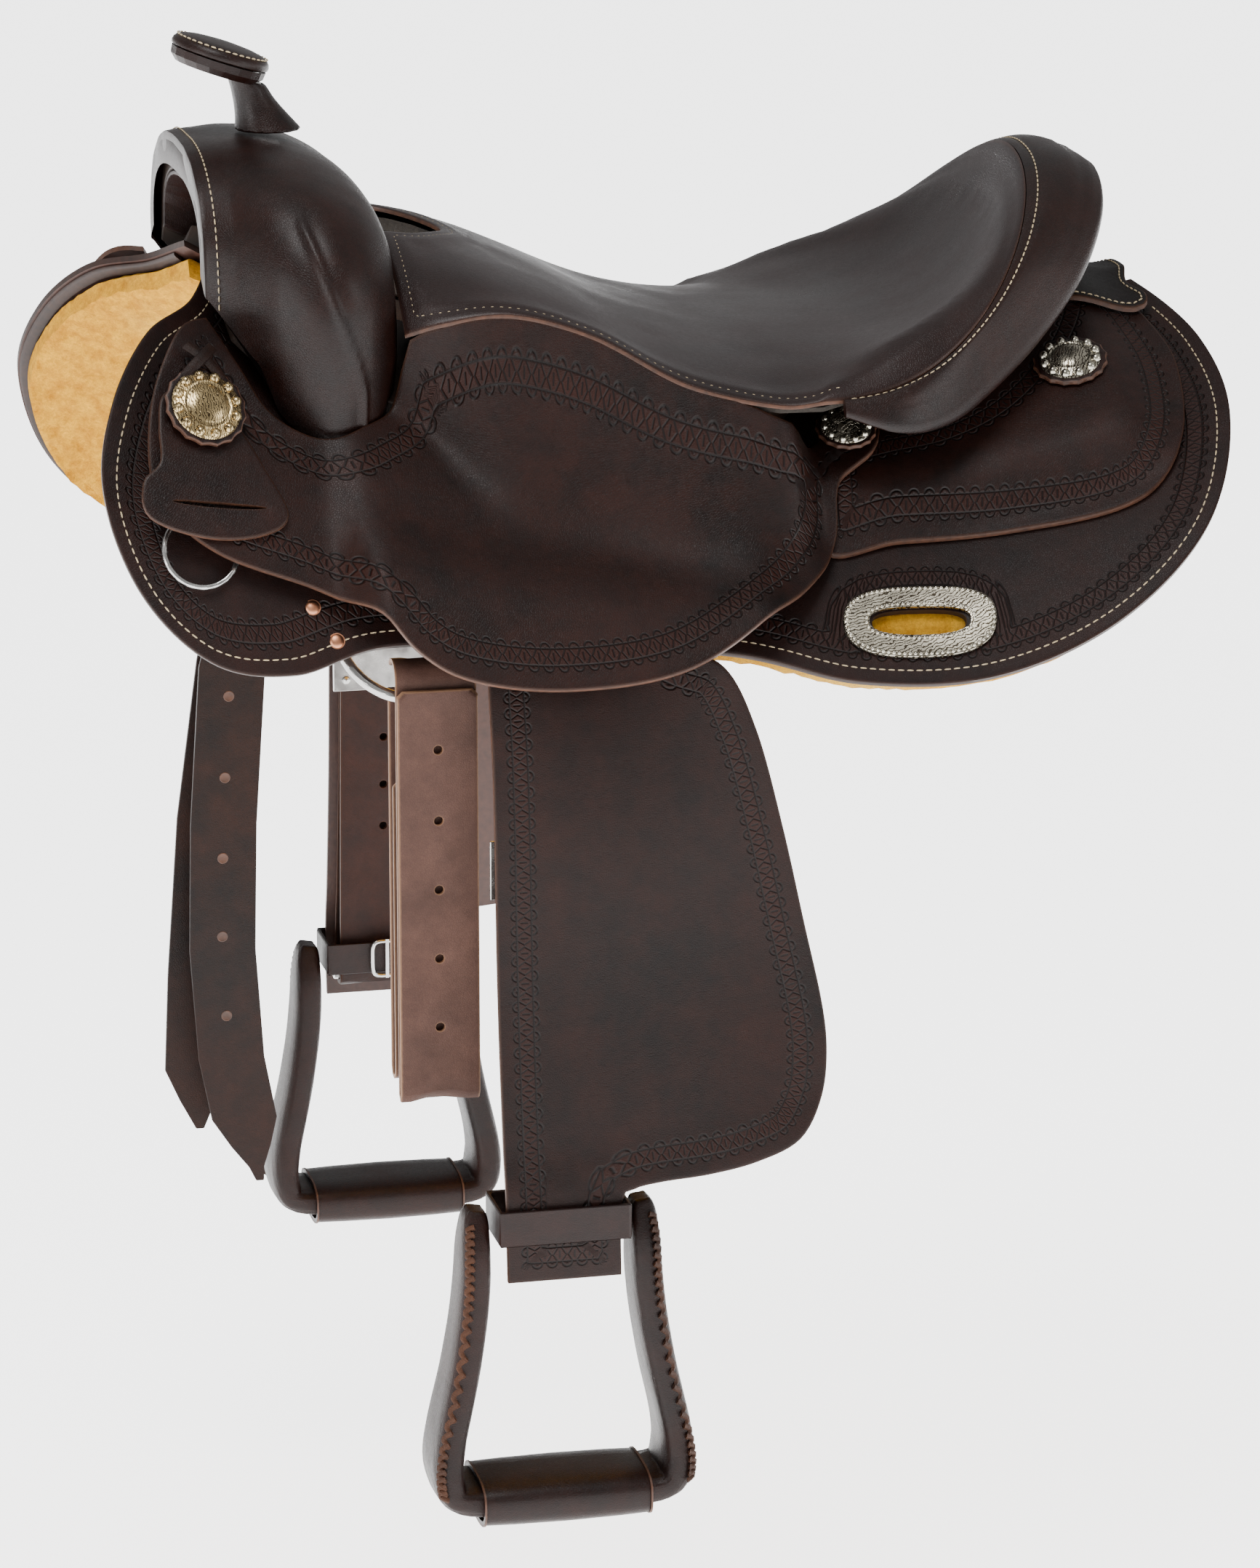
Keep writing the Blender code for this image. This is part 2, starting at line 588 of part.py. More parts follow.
def on_rump(x, y, up):
    t = max(0.004, abs(y))
    for _ in range(6):
        p = back(x, t, rear_lift(x, t) + LEATHER + 0.0023 + up, OFF)
        t += (max(abs(y), 0.012) - p[1]) * 0.95
    return (x, y, p[2])


panel("rear_plate", flat, on_rump, 0.0032, "dark_leather")


# ---- fork, swell and horn -------------------------------------------------------------------
# stations from the gullet's front edge round the outside to the rear: x, half width, height
SWELL = [(-0.3125, 0.086, 0.0760), (-0.3125, 0.098, 0.0900), (-0.3095, 0.101, 0.0925),
         (-0.295, 0.117, 0.0935), (-0.275, 0.140, 0.0930), (-0.250, 0.152, 0.0885), (-0.229, 0.145, 0.0790),
         (-0.214, 0.128, 0.0660), (-0.208, 0.112, 0.0540), (-0.210, 0.092, 0.0470)]
FORK_Z = 0.065


def inward(stations, d):
    out = []
    for i, (x, w, h) in enumerate(stations):
        a, b = stations[max(i - 1, 0)], stations[min(i + 1, len(stations) - 1)]
        dx, dw = b[0] - a[0], b[1] - a[1]
        n = math.hypot(dx, dw)
        out.append((x + d * dw / n, w - d * dx / n, h - d * max(dx, 0.3 * n) / n))
    return out


def arch_ring(stations, u, drop=0.0):
    """Ring of points round one section; u 0 near foot, 1 off foot; drop lets the skin hang past the bars."""
    pts = []
    for x, w, h in stations:
        off = JOCKEY_LIFT + 0.0006 - drop * smooth(0.126, 0.140, w)
        floor = bed(x, w, off)
        spring = max(FORK_Z, floor + 0.004)
        if 0.12 < u < 0.88:
            a = PI * (u - 0.12) / 0.76
            c, s = math.cos(a), math.sin(a)
            y = -w * math.copysign(abs(c) ** 0.76, c)
            z = spring + (FORK_Z + h - spring) * s ** 0.80
        else:
            k = min(u, 1 - u) / 0.12
            wf = w - 0.010 * (1 - k) ** 2 * smooth(0.005, 0.045, FORK_Z - floor)
            y = math.copysign(wf, u - 0.5)
            z = bed(x, wf, off)
            z += (spring - z) * k
        pts.append((x, y, z))
    return pts


ARCH = [0.0, 0.06] + [0.12 + 0.76 * i / 16 for i in range(17)] + [0.94, 1.0]
hide = SWELL + inward(SWELL, 0.003)[::-1]
verts, faces = loft([arch_ring(hide, u, 0.0150) for u in ARCH])
build("swell_cover", verts, faces, "dark_leather", angle=50)

core = inward(SWELL, 0.0062)[1:-1]
GULLET = [(-0.2155, 0.0872, 0.0440), (-0.225, 0.0840, 0.0500), (-0.290, 0.0820, 0.0680), (-0.3075, 0.0820, 0.0700)]
verts, faces = loft([arch_ring(core + GULLET, u) for u in ARCH])
build("tree_fork", verts, faces, "tree_wood", angle=50)

lining = [(x, w - 0.0010, h - 0.0010) for x, w, h in GULLET]
lining += [(x, w - 0.0035, h - 0.0035) for x, w, h in GULLET[::-1]]
verts, faces = loft([arch_ring(lining, u) for u in ARCH])
build("gullet_lining", verts, faces, "dark_leather", angle=50)

HORN_FOOT, HORN_HEAD = Vector((-0.2590, 0, 0.1590)), Vector((-0.2715, 0, 0.1885))
CAP_TILT = math.radians(18.5)
CAP_AXIS = Vector((math.sin(CAP_TILT), 0, math.cos(CAP_TILT)))
CAP = Vector((-0.2865, 0, 0.2000))


def neck_ring(u, r, n=16):
    c = HORN_FOOT.lerp(HORN_HEAD, u)
    ax = Vector((0, 0, 1)).lerp(CAP_AXIS, smooth(0.2, 1, u)).normalized()
    e = Vector((ax.z, 0, -ax.x))
    return [tuple(c + (e * math.cos(2 * PI * k / n) + Vector((0, 1, 0)) * math.sin(2 * PI * k / n)) * r)
            for k in range(n)]


def neck_r(u):
    return 0.0122 + 0.0075 * (1 - u) ** 2.4


steps = [0, 0.12, 0.28, 0.5, 0.75, 1]
outer = [neck_ring(u, neck_r(u)) for u in steps]
inner = [neck_ring(u, min(neck_r(u) - 0.002, 0.0095)) for u in steps]
verts, faces = loft(outer + inner[::-1], loop=True)
build("horn_neck_wrap", verts, faces, "dark_leather")
core = build("horn_core", *loft([neck_ring(u, 0.0088) for u in steps] + [neck_ring(1.25, 0.0088)]), "stainless")
head = turned("horn_head", [(0, 0.0052), (0.012, 0.0050), (0.0225, 0.0038), (0.0245, 0.0), (0.0225, -0.0036),
                            (0.0100, -0.0040), (0, -0.0040)], CAP, CAP_AXIS, "stainless", 16)
mod = core.modifiers.new("head", "BOOLEAN")
mod.operation, mod.solver, mod.object = "UNION", "EXACT", head
shop = bpy.data.collections.new("shop")
bpy.context.scene.collection.children.link(shop)
turned("horn_cap_top", [(0, 0.0102), (0.0190, 0.0090), (0.0264, 0.0068), (0.0284, 0.0030), (0.0278, 0.0010),
                        (0.0256, 0.0008), (0.0232, 0.0048), (0.0170, 0.0060), (0, 0.0062)],
       CAP, CAP_AXIS, "dark_leather")
under = turned("horn_cap_bottom", [(0.0256, -0.0002), (0.0277, 0.0002), (0.0272, -0.0040), (0.0235, -0.0076),
                                   (0, -0.0082), (0, -0.0050), (0.0232, -0.0046)],
               CAP, CAP_AXIS, "dark_leather", close=True)
hole = build("neck_hole", *loft([neck_ring(u, 0.0130) for u in (0.70, 1.0, 1.30)]), "stainless")
mod = under.modifiers.new("hole", "BOOLEAN")
mod.operation, mod.solver, mod.object = "DIFFERENCE", "EXACT", hole
for tool in (head, hole):
    home.objects.unlink(tool)
    shop.objects.link(tool)
    tool.hide_render = True
    tool.display_type = "WIRE"


# ---- conchos on leather rosettes ------------------------------------------------------------
def frame_at(x, t, off, side):
    p = Vector(back(x, t, off, side))
    q = Vector(back(x, t, off + 0.01, side))
    return p, (q - p).normalized()


CONCHOS = [("front", -0.324, 0.166, 0.0200, 0.0235), ("mid", 0.0440, 0.1165, 0.0145, 0.0175),
           ("rear", 0.1820, 0.0965, 0.0175, 0.0215)]
LIFTS = {"front": lambda x, t: jockey_lift(x, t) + LEATHER + 0.0056,
         "mid": lambda x, t: jockey_lift(x, t) + LEATHER, "rear": lambda x, t: rear_lift(x, t) + LEATHER}


def perch(x, t, r, lift, side):
    """Flat seat for a disc of radius r, resting on the highest points of the sheet below it."""
    rim = []
    for k in range(12):
        u, v = x + r * math.cos(PI * k / 6), t + r * math.sin(PI * k / 6)
        rim.append(Vector(back(u, v, lift(u, v), side)))
    c = sum(rim, Vector()) / 12
    n = Vector()
    for k in range(12):
        n += (rim[k] - c).cross(rim[(k + 1) % 12] - c)
    n = n.normalized() * (1 if n.y * side > 0 else -1)
    mid = Vector(back(x, t, lift(x, t), side))
    return c + n * (max((q - c).dot(n) for q in rim + [mid]) + 0.0014), n


for side, tag in ((NEAR, "near"), (OFF, "off")):
    for place, x, t, r, rosette in CONCHOS:
        p, n = perch(x, t, rosette, LIFTS[place], side)
        turned("concho_" + place + "_" + tag,
               [(0, 0.0082), (r * 0.35, 0.0078), (r * 0.55, 0.0060), (r * 0.85, 0.0052), (r, 0.0040),
                (r, 0.0024), (rosette, 0.0022), (rosette, 0), (0, 0)], p, n, "silver", 16)


# ---- rings under the skirts and their straps ------------------------------------------------
RIG_X, RIG_T, RIG_R, RIG_WIRE = -0.2170, 0.2370, 0.0405, 0.0035
RIG_LIFT = 0.0034


def hang_ring(x, t, r, lift, side, lean=0.0):
    """Centre, downward direction and outward normal of a ring lying along the side.

    lean 1 lays it flat on the back's slope fore and aft, 0 keeps its foot level."""
    up, foot = (Vector(back(x, t + a, lift, side)) for a in (-r, r))
    fore, aft = (Vector(back(x + a, t, lift, side)) for a in (-r, r))
    down = (foot - up).normalized()
    n = down.cross(Vector((1, 0, 0)).lerp((aft - fore).normalized(), lean))
    n *= 1 if n.y * side > 0 else -1
    mid = (up + foot + fore + aft) / 4
    return Vector((x, mid.y, mid.z)), down, n.normalized()


def loop_tab(name, pivot, down, n, wire, wall, reach, half, drop, kind):
    """Strap end folded round the top of a ring."""
    loop = []
    for r, turn in ((wire + 0.0007 + wall, 1), (wire + 0.0007, -1)):
        row = [(-reach, -r)] + [(drop + r * math.cos(w), r * math.sin(w))
                                for w in (PI * (i / 8 - 0.5) for i in range(9))] + [(-reach, r)]
        loop += row[::turn]
    rings = [[tuple(Vector((x, pivot.y, pivot.z)) + down * a + n * b) for a, b in loop]
             for x in (pivot.x - half, pivot.x + half)]
    return build(name, *loft(rings), kind)


for side, tag in ((NEAR, "near"), (OFF, "off")):
    p, down, n = hang_ring(RIG_X, RIG_T, RIG_R, RIG_LIFT, side)
    pivot = p - down * RIG_R
    ring("rigging_ring_" + tag, p, n.cross(down), down, RIG_R, RIG_WIRE, "stainless", tuple(pivot))
    loop_tab("rigging_strap_" + tag, pivot, down, n, RIG_WIRE, 0.0014, 0.004, 0.0095, 0.0020, "dark_leather")

# breast-collar rings lie on the skirt, their tabs hidden under the jockey's lobe
DEE_X, DEE_T, DEE_R, DEE_WIRE = -0.332, 0.2405, 0.0205, 0.0018
for side, tag in ((NEAR, "near"), (OFF, "off")):
    p, down, n = hang_ring(DEE_X, DEE_T, DEE_R, SKIRT_OUT + 0.0041, side, 1.0)
    pivot = p - down * DEE_R
    ring("breast_ring_" + tag, p, n.cross(down), down, DEE_R, DEE_WIRE, "stainless", tuple(pivot), 20, 6)
    loop_tab("breast_ring_tab_" + tag, pivot, down, n, DEE_WIRE, 0.0008, 0.001, 0.0050, 0.0012, "dark_leather")


# ---- hanging straps -------------------------------------------------------------------------
def rig_fold(side, reach, wall):
    """Where a strap as wide as reach to one side of the ring's centre bears on the ring.

    Returns the ring's foot, and y of the outer and inner runs and z of the fold, for the strap's middle."""
    p, down, n = hang_ring(RIG_X, RIG_T, RIG_R, RIG_LIFT, side)
    foot = p + down * RIG_R
    rise = RIG_R - math.sqrt(RIG_R ** 2 - reach ** 2)
    bear = foot - down * rise
    clear = RIG_WIRE + 0.0016 + wall / 2
    return foot, abs(foot.y) + clear, abs(bear.y) - clear, bear.z


LATIGO_X = (-0.2312, -0.1867)
foot, outer, inner, top = rig_fold(NEAR, LATIGO_X[1] - RIG_X, 0.0028)
mid, bow = (outer + inner) / 2, (outer - inner) / 2
turn = (mid - inner) / 2
LATIGO = [(-mid, -0.168), (-mid, -0.250), (-mid, -0.330)]
LATIGO += [(-a, b) for a, b in bend((mid - turn, -0.333), turn, 0, -180)]
LATIGO += [(-inner, -0.200), (-inner, top)]
LATIGO += [(-a, b) for a, b in bend((mid, top), bow, 180, 0)]
LATIGO += [(-outer, -0.200), (-outer, -0.340)]
LATIGO += [(-a, b) for a, b in bend((outer + 0.0026, -0.344), 0.0026, 180, 360)]
LATIGO += [(-outer - 0.0052, -0.250), (-outer - 0.0052, -0.160), (-outer - 0.0052, top - 0.0035)]
strap("latigo_near", LATIGO, 0.0028, *LATIGO_X, "oiled_leather", tuple(foot))

BILLET_X, BILLET_W = -0.2250, 0.0410
foot, outer, inner, top = rig_fold(OFF, RIG_X - BILLET_X + BILLET_W / 2, 0.0032)
mid, bow = (outer + inner) / 2, (outer - inner) / 2
IN_LEAN = [(-0.531, -0.016), (-0.500, -0.023), (-0.447, -0.033), (-0.380, -0.037), (-0.300, -0.035),
           (-0.200, -0.028), (-0.120, -0.006), (-0.09, 0.0)]
OUT_LEAN = [(-0.501, -0.050), (-0.470, -0.051), (-0.330, -0.043), (-0.210, -0.028), (-0.120, -0.006), (-0.09, 0.0)]
rows = [(inner, z, along(IN_LEAN, z), smooth(0, 0.045, z + 0.532)) for z in
        (-0.531, -0.522, -0.508, -0.490, -0.450, -0.380, -0.300, -0.200, -0.150, -0.115)]
rows += [(a, b, 0.0, 1.0) for a, b in bend((mid, top), bow, 180, 0)]
rows += [(outer, z, along(OUT_LEAN, z), smooth(0, 0.040, z + 0.502)) for z in
         (-0.115, -0.150, -0.200, -0.300, -0.400, -0.462, -0.482, -0.501)]
verts, faces = [], []
for i, (y, z, lean, full) in enumerate(rows):
    half = BILLET_W / 2 * (0.12 + 0.88 * full)
    verts += [(BILLET_X + lean - half, y, z), (BILLET_X + lean + half, y, z)]
    if i:
        faces.append((2 * i - 2, 2 * i - 1, 2 * i + 1, 2 * i))
thicken(build("off_billet", verts, faces, "oiled_leather", tuple(foot), closed=False), 0.0032, 0.0)


# ---- fenders, stirrup leathers and stirrups -------------------------------------------------
FLARE = [(0.0, 0.1665), (0.015, 0.1835), (0.030, 0.1975), (0.045, 0.2090), (0.060, 0.2195), (0.075, 0.2290),
         (0.090, 0.2350), (0.120, 0.2430), (0.160, 0.2495), (0.250, 0.2570), (0.330, 0.2690), (0.360, 0.2757),
         (0.430, 0.2770)]


def flare(x, z, extra, side):
    rho = math.hypot(x - HINGE[0], z - HINGE[1])
    return (x, side * (along(FLARE, rho) + extra), z)


FENDER = [(-0.172, -0.068), (-0.140, -0.064), (-0.108, -0.076), (-0.078, -0.095), (-0.0530, -0.106),
          (-0.037, -0.140), (-0.023, -0.195), (-0.012, -0.247), (-0.003, -0.292), (-0.001, -0.320),
          (-0.005, -0.345), (-0.018, -0.367), (-0.042, -0.378), (-0.069, -0.3835), (-0.096, -0.3860),
          (-0.112, -0.3890), (-0.1190, -0.396), (-0.1195, -0.437, 1), (-0.1830, -0.437, 1), (-0.1835, -0.400),
          (-0.1835, -0.300), (-0.1830, -0.160), (-0.1820, -0.100)]
hinge_at = {s: (HINGE[0], s * 0.150, HINGE[1]) for s in (NEAR, OFF)}
for side, tag in ((NEAR, "near"), (OFF, "off")):
    flat = fill(spline(FENDER, 0.020), [], 0.032)
    panel("fender_" + tag, flat, lambda x, z, up: flare(x, z, up, side), 0.0040, "dark_leather", hinge_at[side])

    # outer run behind the fender, round the stirrup bolt's roller, back up inside
    py, pz = PIN[1], PIN[2]
    path = []
    for i in range(14):
        z = HINGE[1] - 0.370 * i / 13
        path.append((along(FLARE, HINGE[1] - z) - 0.0040, z))
    path = [p for p in path if p[1] > -0.380] + [(py + 0.0098, -0.400)]
    path += bend((py, pz), 0.0098, 0, -180, 10)
    path += [(py - 0.0098, -0.385), (py - 0.0140, -0.320), (py - 0.0190, -0.250), (py - 0.0205, -0.230),
             (py - 0.0205, -0.203)]
    path = [(side * a, b) for a, b in path]
    strap("stirrup_leather_" + tag, path, 0.0032, PIN[0] - 0.027, PIN[0] + 0.027, "raw_leather", hinge_at[side])

    # plate with its sliding lock, riveted on the inner run
    brick("adjuster_plate_" + tag, (-0.1835, side * 0.2378, -0.230), (-0.1195, side * 0.2396, -0.197), "stainless",
          hinge_at[side])

    # hobble strap round the neck
    rows = []
    for grow in (0.0, 0.0024):
        a0, a1 = -0.1860 - grow, -0.1165 + grow
        b0, b1 = side * (0.2460 - grow), side * (0.2820 + grow)
        rows.append([(a0, b0), (a1, b0), (a1, b1), (a0, b1)])
    rings = [[(x, y, -0.4150) for x, y in rows[0]], [(x, y, -0.4150) for x, y in rows[1]],
             [(x, y, -0.3950) for x, y in rows[1]], [(x, y, -0.3950) for x, y in rows[0]]]
    build("hobble_strap_" + tag, *loft(rings, loop=True), "dark_leather", hinge_at[side])
    brick("hobble_buckle_" + tag, (-0.160, side * 0.2395, -0.4165), (-0.142, side * 0.2430, -0.3935), "stainless",
          hinge_at[side])

# stirrup: bell-shaped frame, its tread and the bolt between its tops
HALF = [(0.0462, -0.3980, 0.0050, 0.008), (0.0470, -0.4030, 0.0076, 0.010), (0.0478, -0.4180, 0.0088, 0.016),
        (0.0482, -0.4380, 0.0092, 0.018), (0.0505, -0.4620, 0.0092, 0.019), (0.0560, -0.4950, 0.0092, 0.021),
        (0.0635, -0.5260, 0.0092, 0.023), (0.0660, -0.5450, 0.0094, 0.025), (0.0635, -0.5590, 0.0097, 0.026),
        (0.0560, -0.5655, 0.0098, 0.026)]


def stirrup_ring(p, tx, tz, half, deep, side):
    nx, nz = -tz, tx
    pts = []
    for i in range(12):
        a = 2 * PI * (i + 0.5) / 12
        c, s = math.cos(a), math.sin(a)
        e = math.copysign(abs(c) ** 0.5, c) * half
        d = math.copysign(abs(s) ** 0.5, s) * deep
        pts.append((p[0] + nx * e, side * PIN[1] + d, p[1] + nz * e))
    return pts


for side, tag in ((NEAR, "near"), (OFF, "off")):
    rows = [(PIN[0] - x, z, h, d) for x, z, h, d in HALF] + [(PIN[0] + x, z, h, d) for x, z, h, d in HALF[::-1]]
    rings = []
    for i, (x, z, h, d) in enumerate(rows):
        a, b = rows[max(i - 1, 0)], rows[min(i + 1, len(rows) - 1)]
        n = math.dist(a[:2], b[:2])
        if z < -0.560:
            a, b, n = (0, z), (1, z), 1.0
        rings.append(stirrup_ring((x, z), (b[0] - a[0]) / n, (b[1] - a[1]) / n, h, d, side))
    pin = (PIN[0], side * PIN[1], PIN[2])
    build("stirrup_frame_" + tag, *loft(rings), "dark_leather", pin, angle=60)
    mid = (PIN[0], side * PIN[1], -0.5655)
    rows = []
    for grow in (0.0006, 0.0028):
        d, h = 0.026 + grow, 0.0098 + grow
        flat = [(-d, -h * 0.5), (-d, h * 0.5), (-d * 0.86, h), (d * 0.86, h), (d, h * 0.5), (d, -h * 0.5),
                (d * 0.86, -h), (-d * 0.86, -h)]
        rows.append(flat)
    ends = (-0.0475, 0.0475)
    rings = [[(mid[0] + ends[e], mid[1] + y, mid[2] + z) for y, z in rows[k]]
             for e, k in ((0, 0), (0, 1), (1, 1), (1, 0))]
    build("tread_cover_" + tag, *loft(rings, loop=True), "dark_leather", pin, angle=30)
    bolt = turned("stirrup_bolt_" + tag, [(0, 0.0322), (0.0040, 0.0322), (0.0040, 0.0300), (0.0075, 0.0300),
                                          (0.0075, -0.0300), (0.0040, -0.0300), (0.0040, -0.0322), (0, -0.0322)],
                  pin, (1, 0, 0), "stainless", 16)
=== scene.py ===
# A western saddle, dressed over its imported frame: X to the rear, -Y the near side, Z up, in metres.
import math

import bmesh
import bpy
import numpy as np
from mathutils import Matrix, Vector, noise
from mathutils.geometry import delaunay_2d_cdt


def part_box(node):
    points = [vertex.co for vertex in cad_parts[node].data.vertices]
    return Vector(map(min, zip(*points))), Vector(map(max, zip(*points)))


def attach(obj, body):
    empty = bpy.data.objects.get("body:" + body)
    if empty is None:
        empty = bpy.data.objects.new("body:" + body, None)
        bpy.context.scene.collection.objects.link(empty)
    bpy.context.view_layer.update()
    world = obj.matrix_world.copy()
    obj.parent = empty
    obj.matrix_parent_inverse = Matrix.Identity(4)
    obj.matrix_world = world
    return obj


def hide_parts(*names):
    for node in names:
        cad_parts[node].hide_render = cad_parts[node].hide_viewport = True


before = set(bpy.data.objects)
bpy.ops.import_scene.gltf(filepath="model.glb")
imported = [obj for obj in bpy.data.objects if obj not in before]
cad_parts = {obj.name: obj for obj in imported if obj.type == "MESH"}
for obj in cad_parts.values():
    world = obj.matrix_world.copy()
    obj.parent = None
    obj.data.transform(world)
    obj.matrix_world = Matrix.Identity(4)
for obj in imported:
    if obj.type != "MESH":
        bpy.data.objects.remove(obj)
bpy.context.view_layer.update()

# ---- studio ------------------------------------------------------------------------------------
# A pale floor under the hanging saddle, a white room and three soft boxes: one above and in front,
# one low on each side.
camera = bpy.data.objects.new("camera", bpy.data.cameras.new("camera"))
bpy.context.scene.collection.objects.link(camera)
turn, rise, target = math.radians(-13), math.radians(15), Vector((-0.05, 0, -0.235))
towards = Vector((math.sin(turn) * math.cos(rise), -math.cos(turn) * math.cos(rise), math.sin(rise)))
camera.location = target + towards * 3.57
camera.rotation_mode = "QUATERNION"
camera.rotation_quaternion = towards.to_track_quat("Z", "Y")
camera.data.lens, camera.data.sensor_width = 139.6, 36
camera.data.clip_start, camera.data.clip_end = 0.05, 60
bpy.context.scene.camera = camera

bpy.ops.mesh.primitive_plane_add(size=40, location=(0, 0, -0.74))
floor = bpy.context.object
floor.name = "studio_floor"
paper = bpy.data.materials.new("studio_paper")
paper.use_nodes = True
for socket, value in (("Base Color", (0.93, 0.93, 0.93, 1)), ("Emission Color", (1, 1, 1, 1)),
                      ("Emission Strength", 3.3), ("Roughness", 0.9)):
    paper.node_tree.nodes["Principled BSDF"].inputs[socket].default_value = value
floor.data.materials.append(paper)

room = bpy.data.worlds.new("studio_room")
room.use_nodes = True
room.node_tree.nodes["Background"].inputs["Color"].default_value = (1, 1, 1, 1)
room.node_tree.nodes["Background"].inputs["Strength"].default_value = 0.45
bpy.context.scene.world = room
for name, place, power, wide in (("top_box", (-0.7, -1.1, 2.5), 60, 1.3),
                                 ("left_box", (-2.6, -1.4, 0.3), 20, 1.0),
                                 ("right_box", (2.4, -1.6, 0.9), 16, 1.0)):
    lamp = bpy.data.objects.new(name, bpy.data.lights.new(name, "AREA"))
    lamp.data.energy, lamp.data.size = power, wide
    lamp.location = place
    lamp.rotation_mode = "QUATERNION"
    lamp.rotation_quaternion = (Vector(place) - Vector((0, 0, -0.1))).to_track_quat("Z", "Y")
    bpy.context.scene.collection.objects.link(lamp)


# ---- tree --------------------------------------------------------------------------------------
# The tree is pine under shrunk rawhide: two bars, a fork and a cantle, with a steel horn bolted to
# the fork. The ground seat and a sheet of foam fill the hollow between them.
def plug(tree, socket, value):
    """Link a socket to another's output, or give it a constant."""
    if isinstance(value, bpy.types.NodeSocket):
        tree.links.new(value, socket)
    else:
        socket.default_value = value


def add(tree, kind, out=0, **sets):
    """A shader node: sockets given by name (_0, _1 by place), and plain settings."""
    n = tree.nodes.new("ShaderNode" + kind)
    for key, value in sets.items():
        where = int(key[1:]) if key[0] == "_" else key.replace("_", " ")
        if isinstance(where, int) or where in n.inputs:
            plug(tree, n.inputs[where], value)
        else:
            setattr(n, key, value)
    return n.outputs[out]


def blank(name):
    """A new material, its tree, and the coordinates of the piece."""
    m = bpy.data.materials.new(name)
    m.use_nodes = True
    return m, m.node_tree, add(m.node_tree, "TexCoord", "Object")


def surface(tree, **sets):
    """Set the sockets of the material's surface."""
    for key, value in sets.items():
        plug(tree, tree.nodes["Principled BSDF"].inputs[key.replace("_", " ")], value)


def blend_colour(tree, share, a, b):
    return add(tree, "Mix", 2, data_type="RGBA", _0=share, _6=a, _7=b)


def spread(tree, value, low, high, to_low=0.0, to_high=1.0):
    return add(tree, "MapRange", Value=value, From_Min=low, From_Max=high, To_Min=to_low, To_Max=to_high)


def tree_stuff(name, dark, light, scale, rough):
    """A plain cloudy stuff for the hidden parts of the tree."""
    m, t, at = blank(name)
    grain = add(t, "TexNoise", "Fac", Vector=at, Scale=scale, Detail=8.0, Roughness=0.7, Distortion=1.2)
    surface(t, Base_Color=blend_colour(t, spread(t, grain, 0.35, 0.7), (*dark, 1), (*light, 1)),
            Roughness=rough, Normal=add(t, "Bump", "Normal", Strength=0.5, Distance=0.0008, Height=grain))
    return m


rawhide = tree_stuff("stained_rawhide", (0.010, 0.005, 0.003), (0.036, 0.018, 0.010), 24.0, 0.5)
foam = tree_stuff("dark_foam", (0.020, 0.016, 0.013), (0.050, 0.040, 0.032), 300.0, 0.9)


def keep(node, mat, soften=0.0, smooth_levels=0):
    """A part of the frame shown as it is, with softened corners and its own material."""
    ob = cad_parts[node]
    ob.data.materials.clear()
    ob.data.materials.append(mat)
    weld = ob.modifiers.new("joined", "WELD")
    weld.merge_threshold = 0.00002
    if smooth_levels:
        round_off = ob.modifiers.new("rounded", "SUBSURF")
        round_off.levels = round_off.render_levels = smooth_levels
    if soften:
        corner = ob.modifiers.new("softened", "BEVEL")
        corner.width, corner.segments = soften, 2
        corner.limit_method, corner.angle_limit = "ANGLE", math.radians(35)
        corner.harden_normals = False
    return ob


for node in ("tree_bar_near", "tree_bar_off", "tree_fork", "tree_cantle", "ground_seat"):
    keep(node, rawhide, 0.0008)
keep("seat_foam", foam)


# ---- fleece ------------------------------------------------------------------------------------
# Sheared woolskin, dyed gold, is glued and sewn under each skirt. The pile stands in clumps and
# rolls out a little past the skirt's edge.
def calc(tree, operation, *values):
    return add(tree, "Math", operation=operation, **{f"_{i}": v for i, v in enumerate(values)})


NEAR, OFF = -1, 1
SIDES = ((NEAR, "near"), (OFF, "off"))
FLEECE, SKIRT_IN, SKIRT_OUT, BAR_OUT, LEATHER = 0.0107, 0.0126, 0.0168, 0.0325, 0.0040


def section(x):
    """The arch of the back at x: start angle, radius, centre (y, z)."""
    f = min(1.0, max(0.0, -x / 0.38)) ** 1.5
    r = min(1.0, max(0.0, x / 0.30)) ** 1.5
    b0 = math.radians(12 + 13 * f)
    rad = 0.30 / (math.radians(58 + 16 * f - 13 * r) - b0)
    ridge = (0.66 if x > 0 else 1.0) * x * x
    return b0, rad, -rad * math.sin(b0), ridge - rad * math.cos(b0)


def back(x, t, off, side):
    b0, rad, cy, cz = section(x)
    b = b0 + t / rad
    return Vector((x, side * (cy + (rad + off) * math.sin(b)), cz + (rad + off) * math.cos(b)))


def unback(x, y, z):
    b0, rad, cy, cz = section(x)
    dy, dz = abs(y) - cy, z - cz
    return (math.atan2(dy, dz) - b0) * rad, math.hypot(dy, dz) - rad


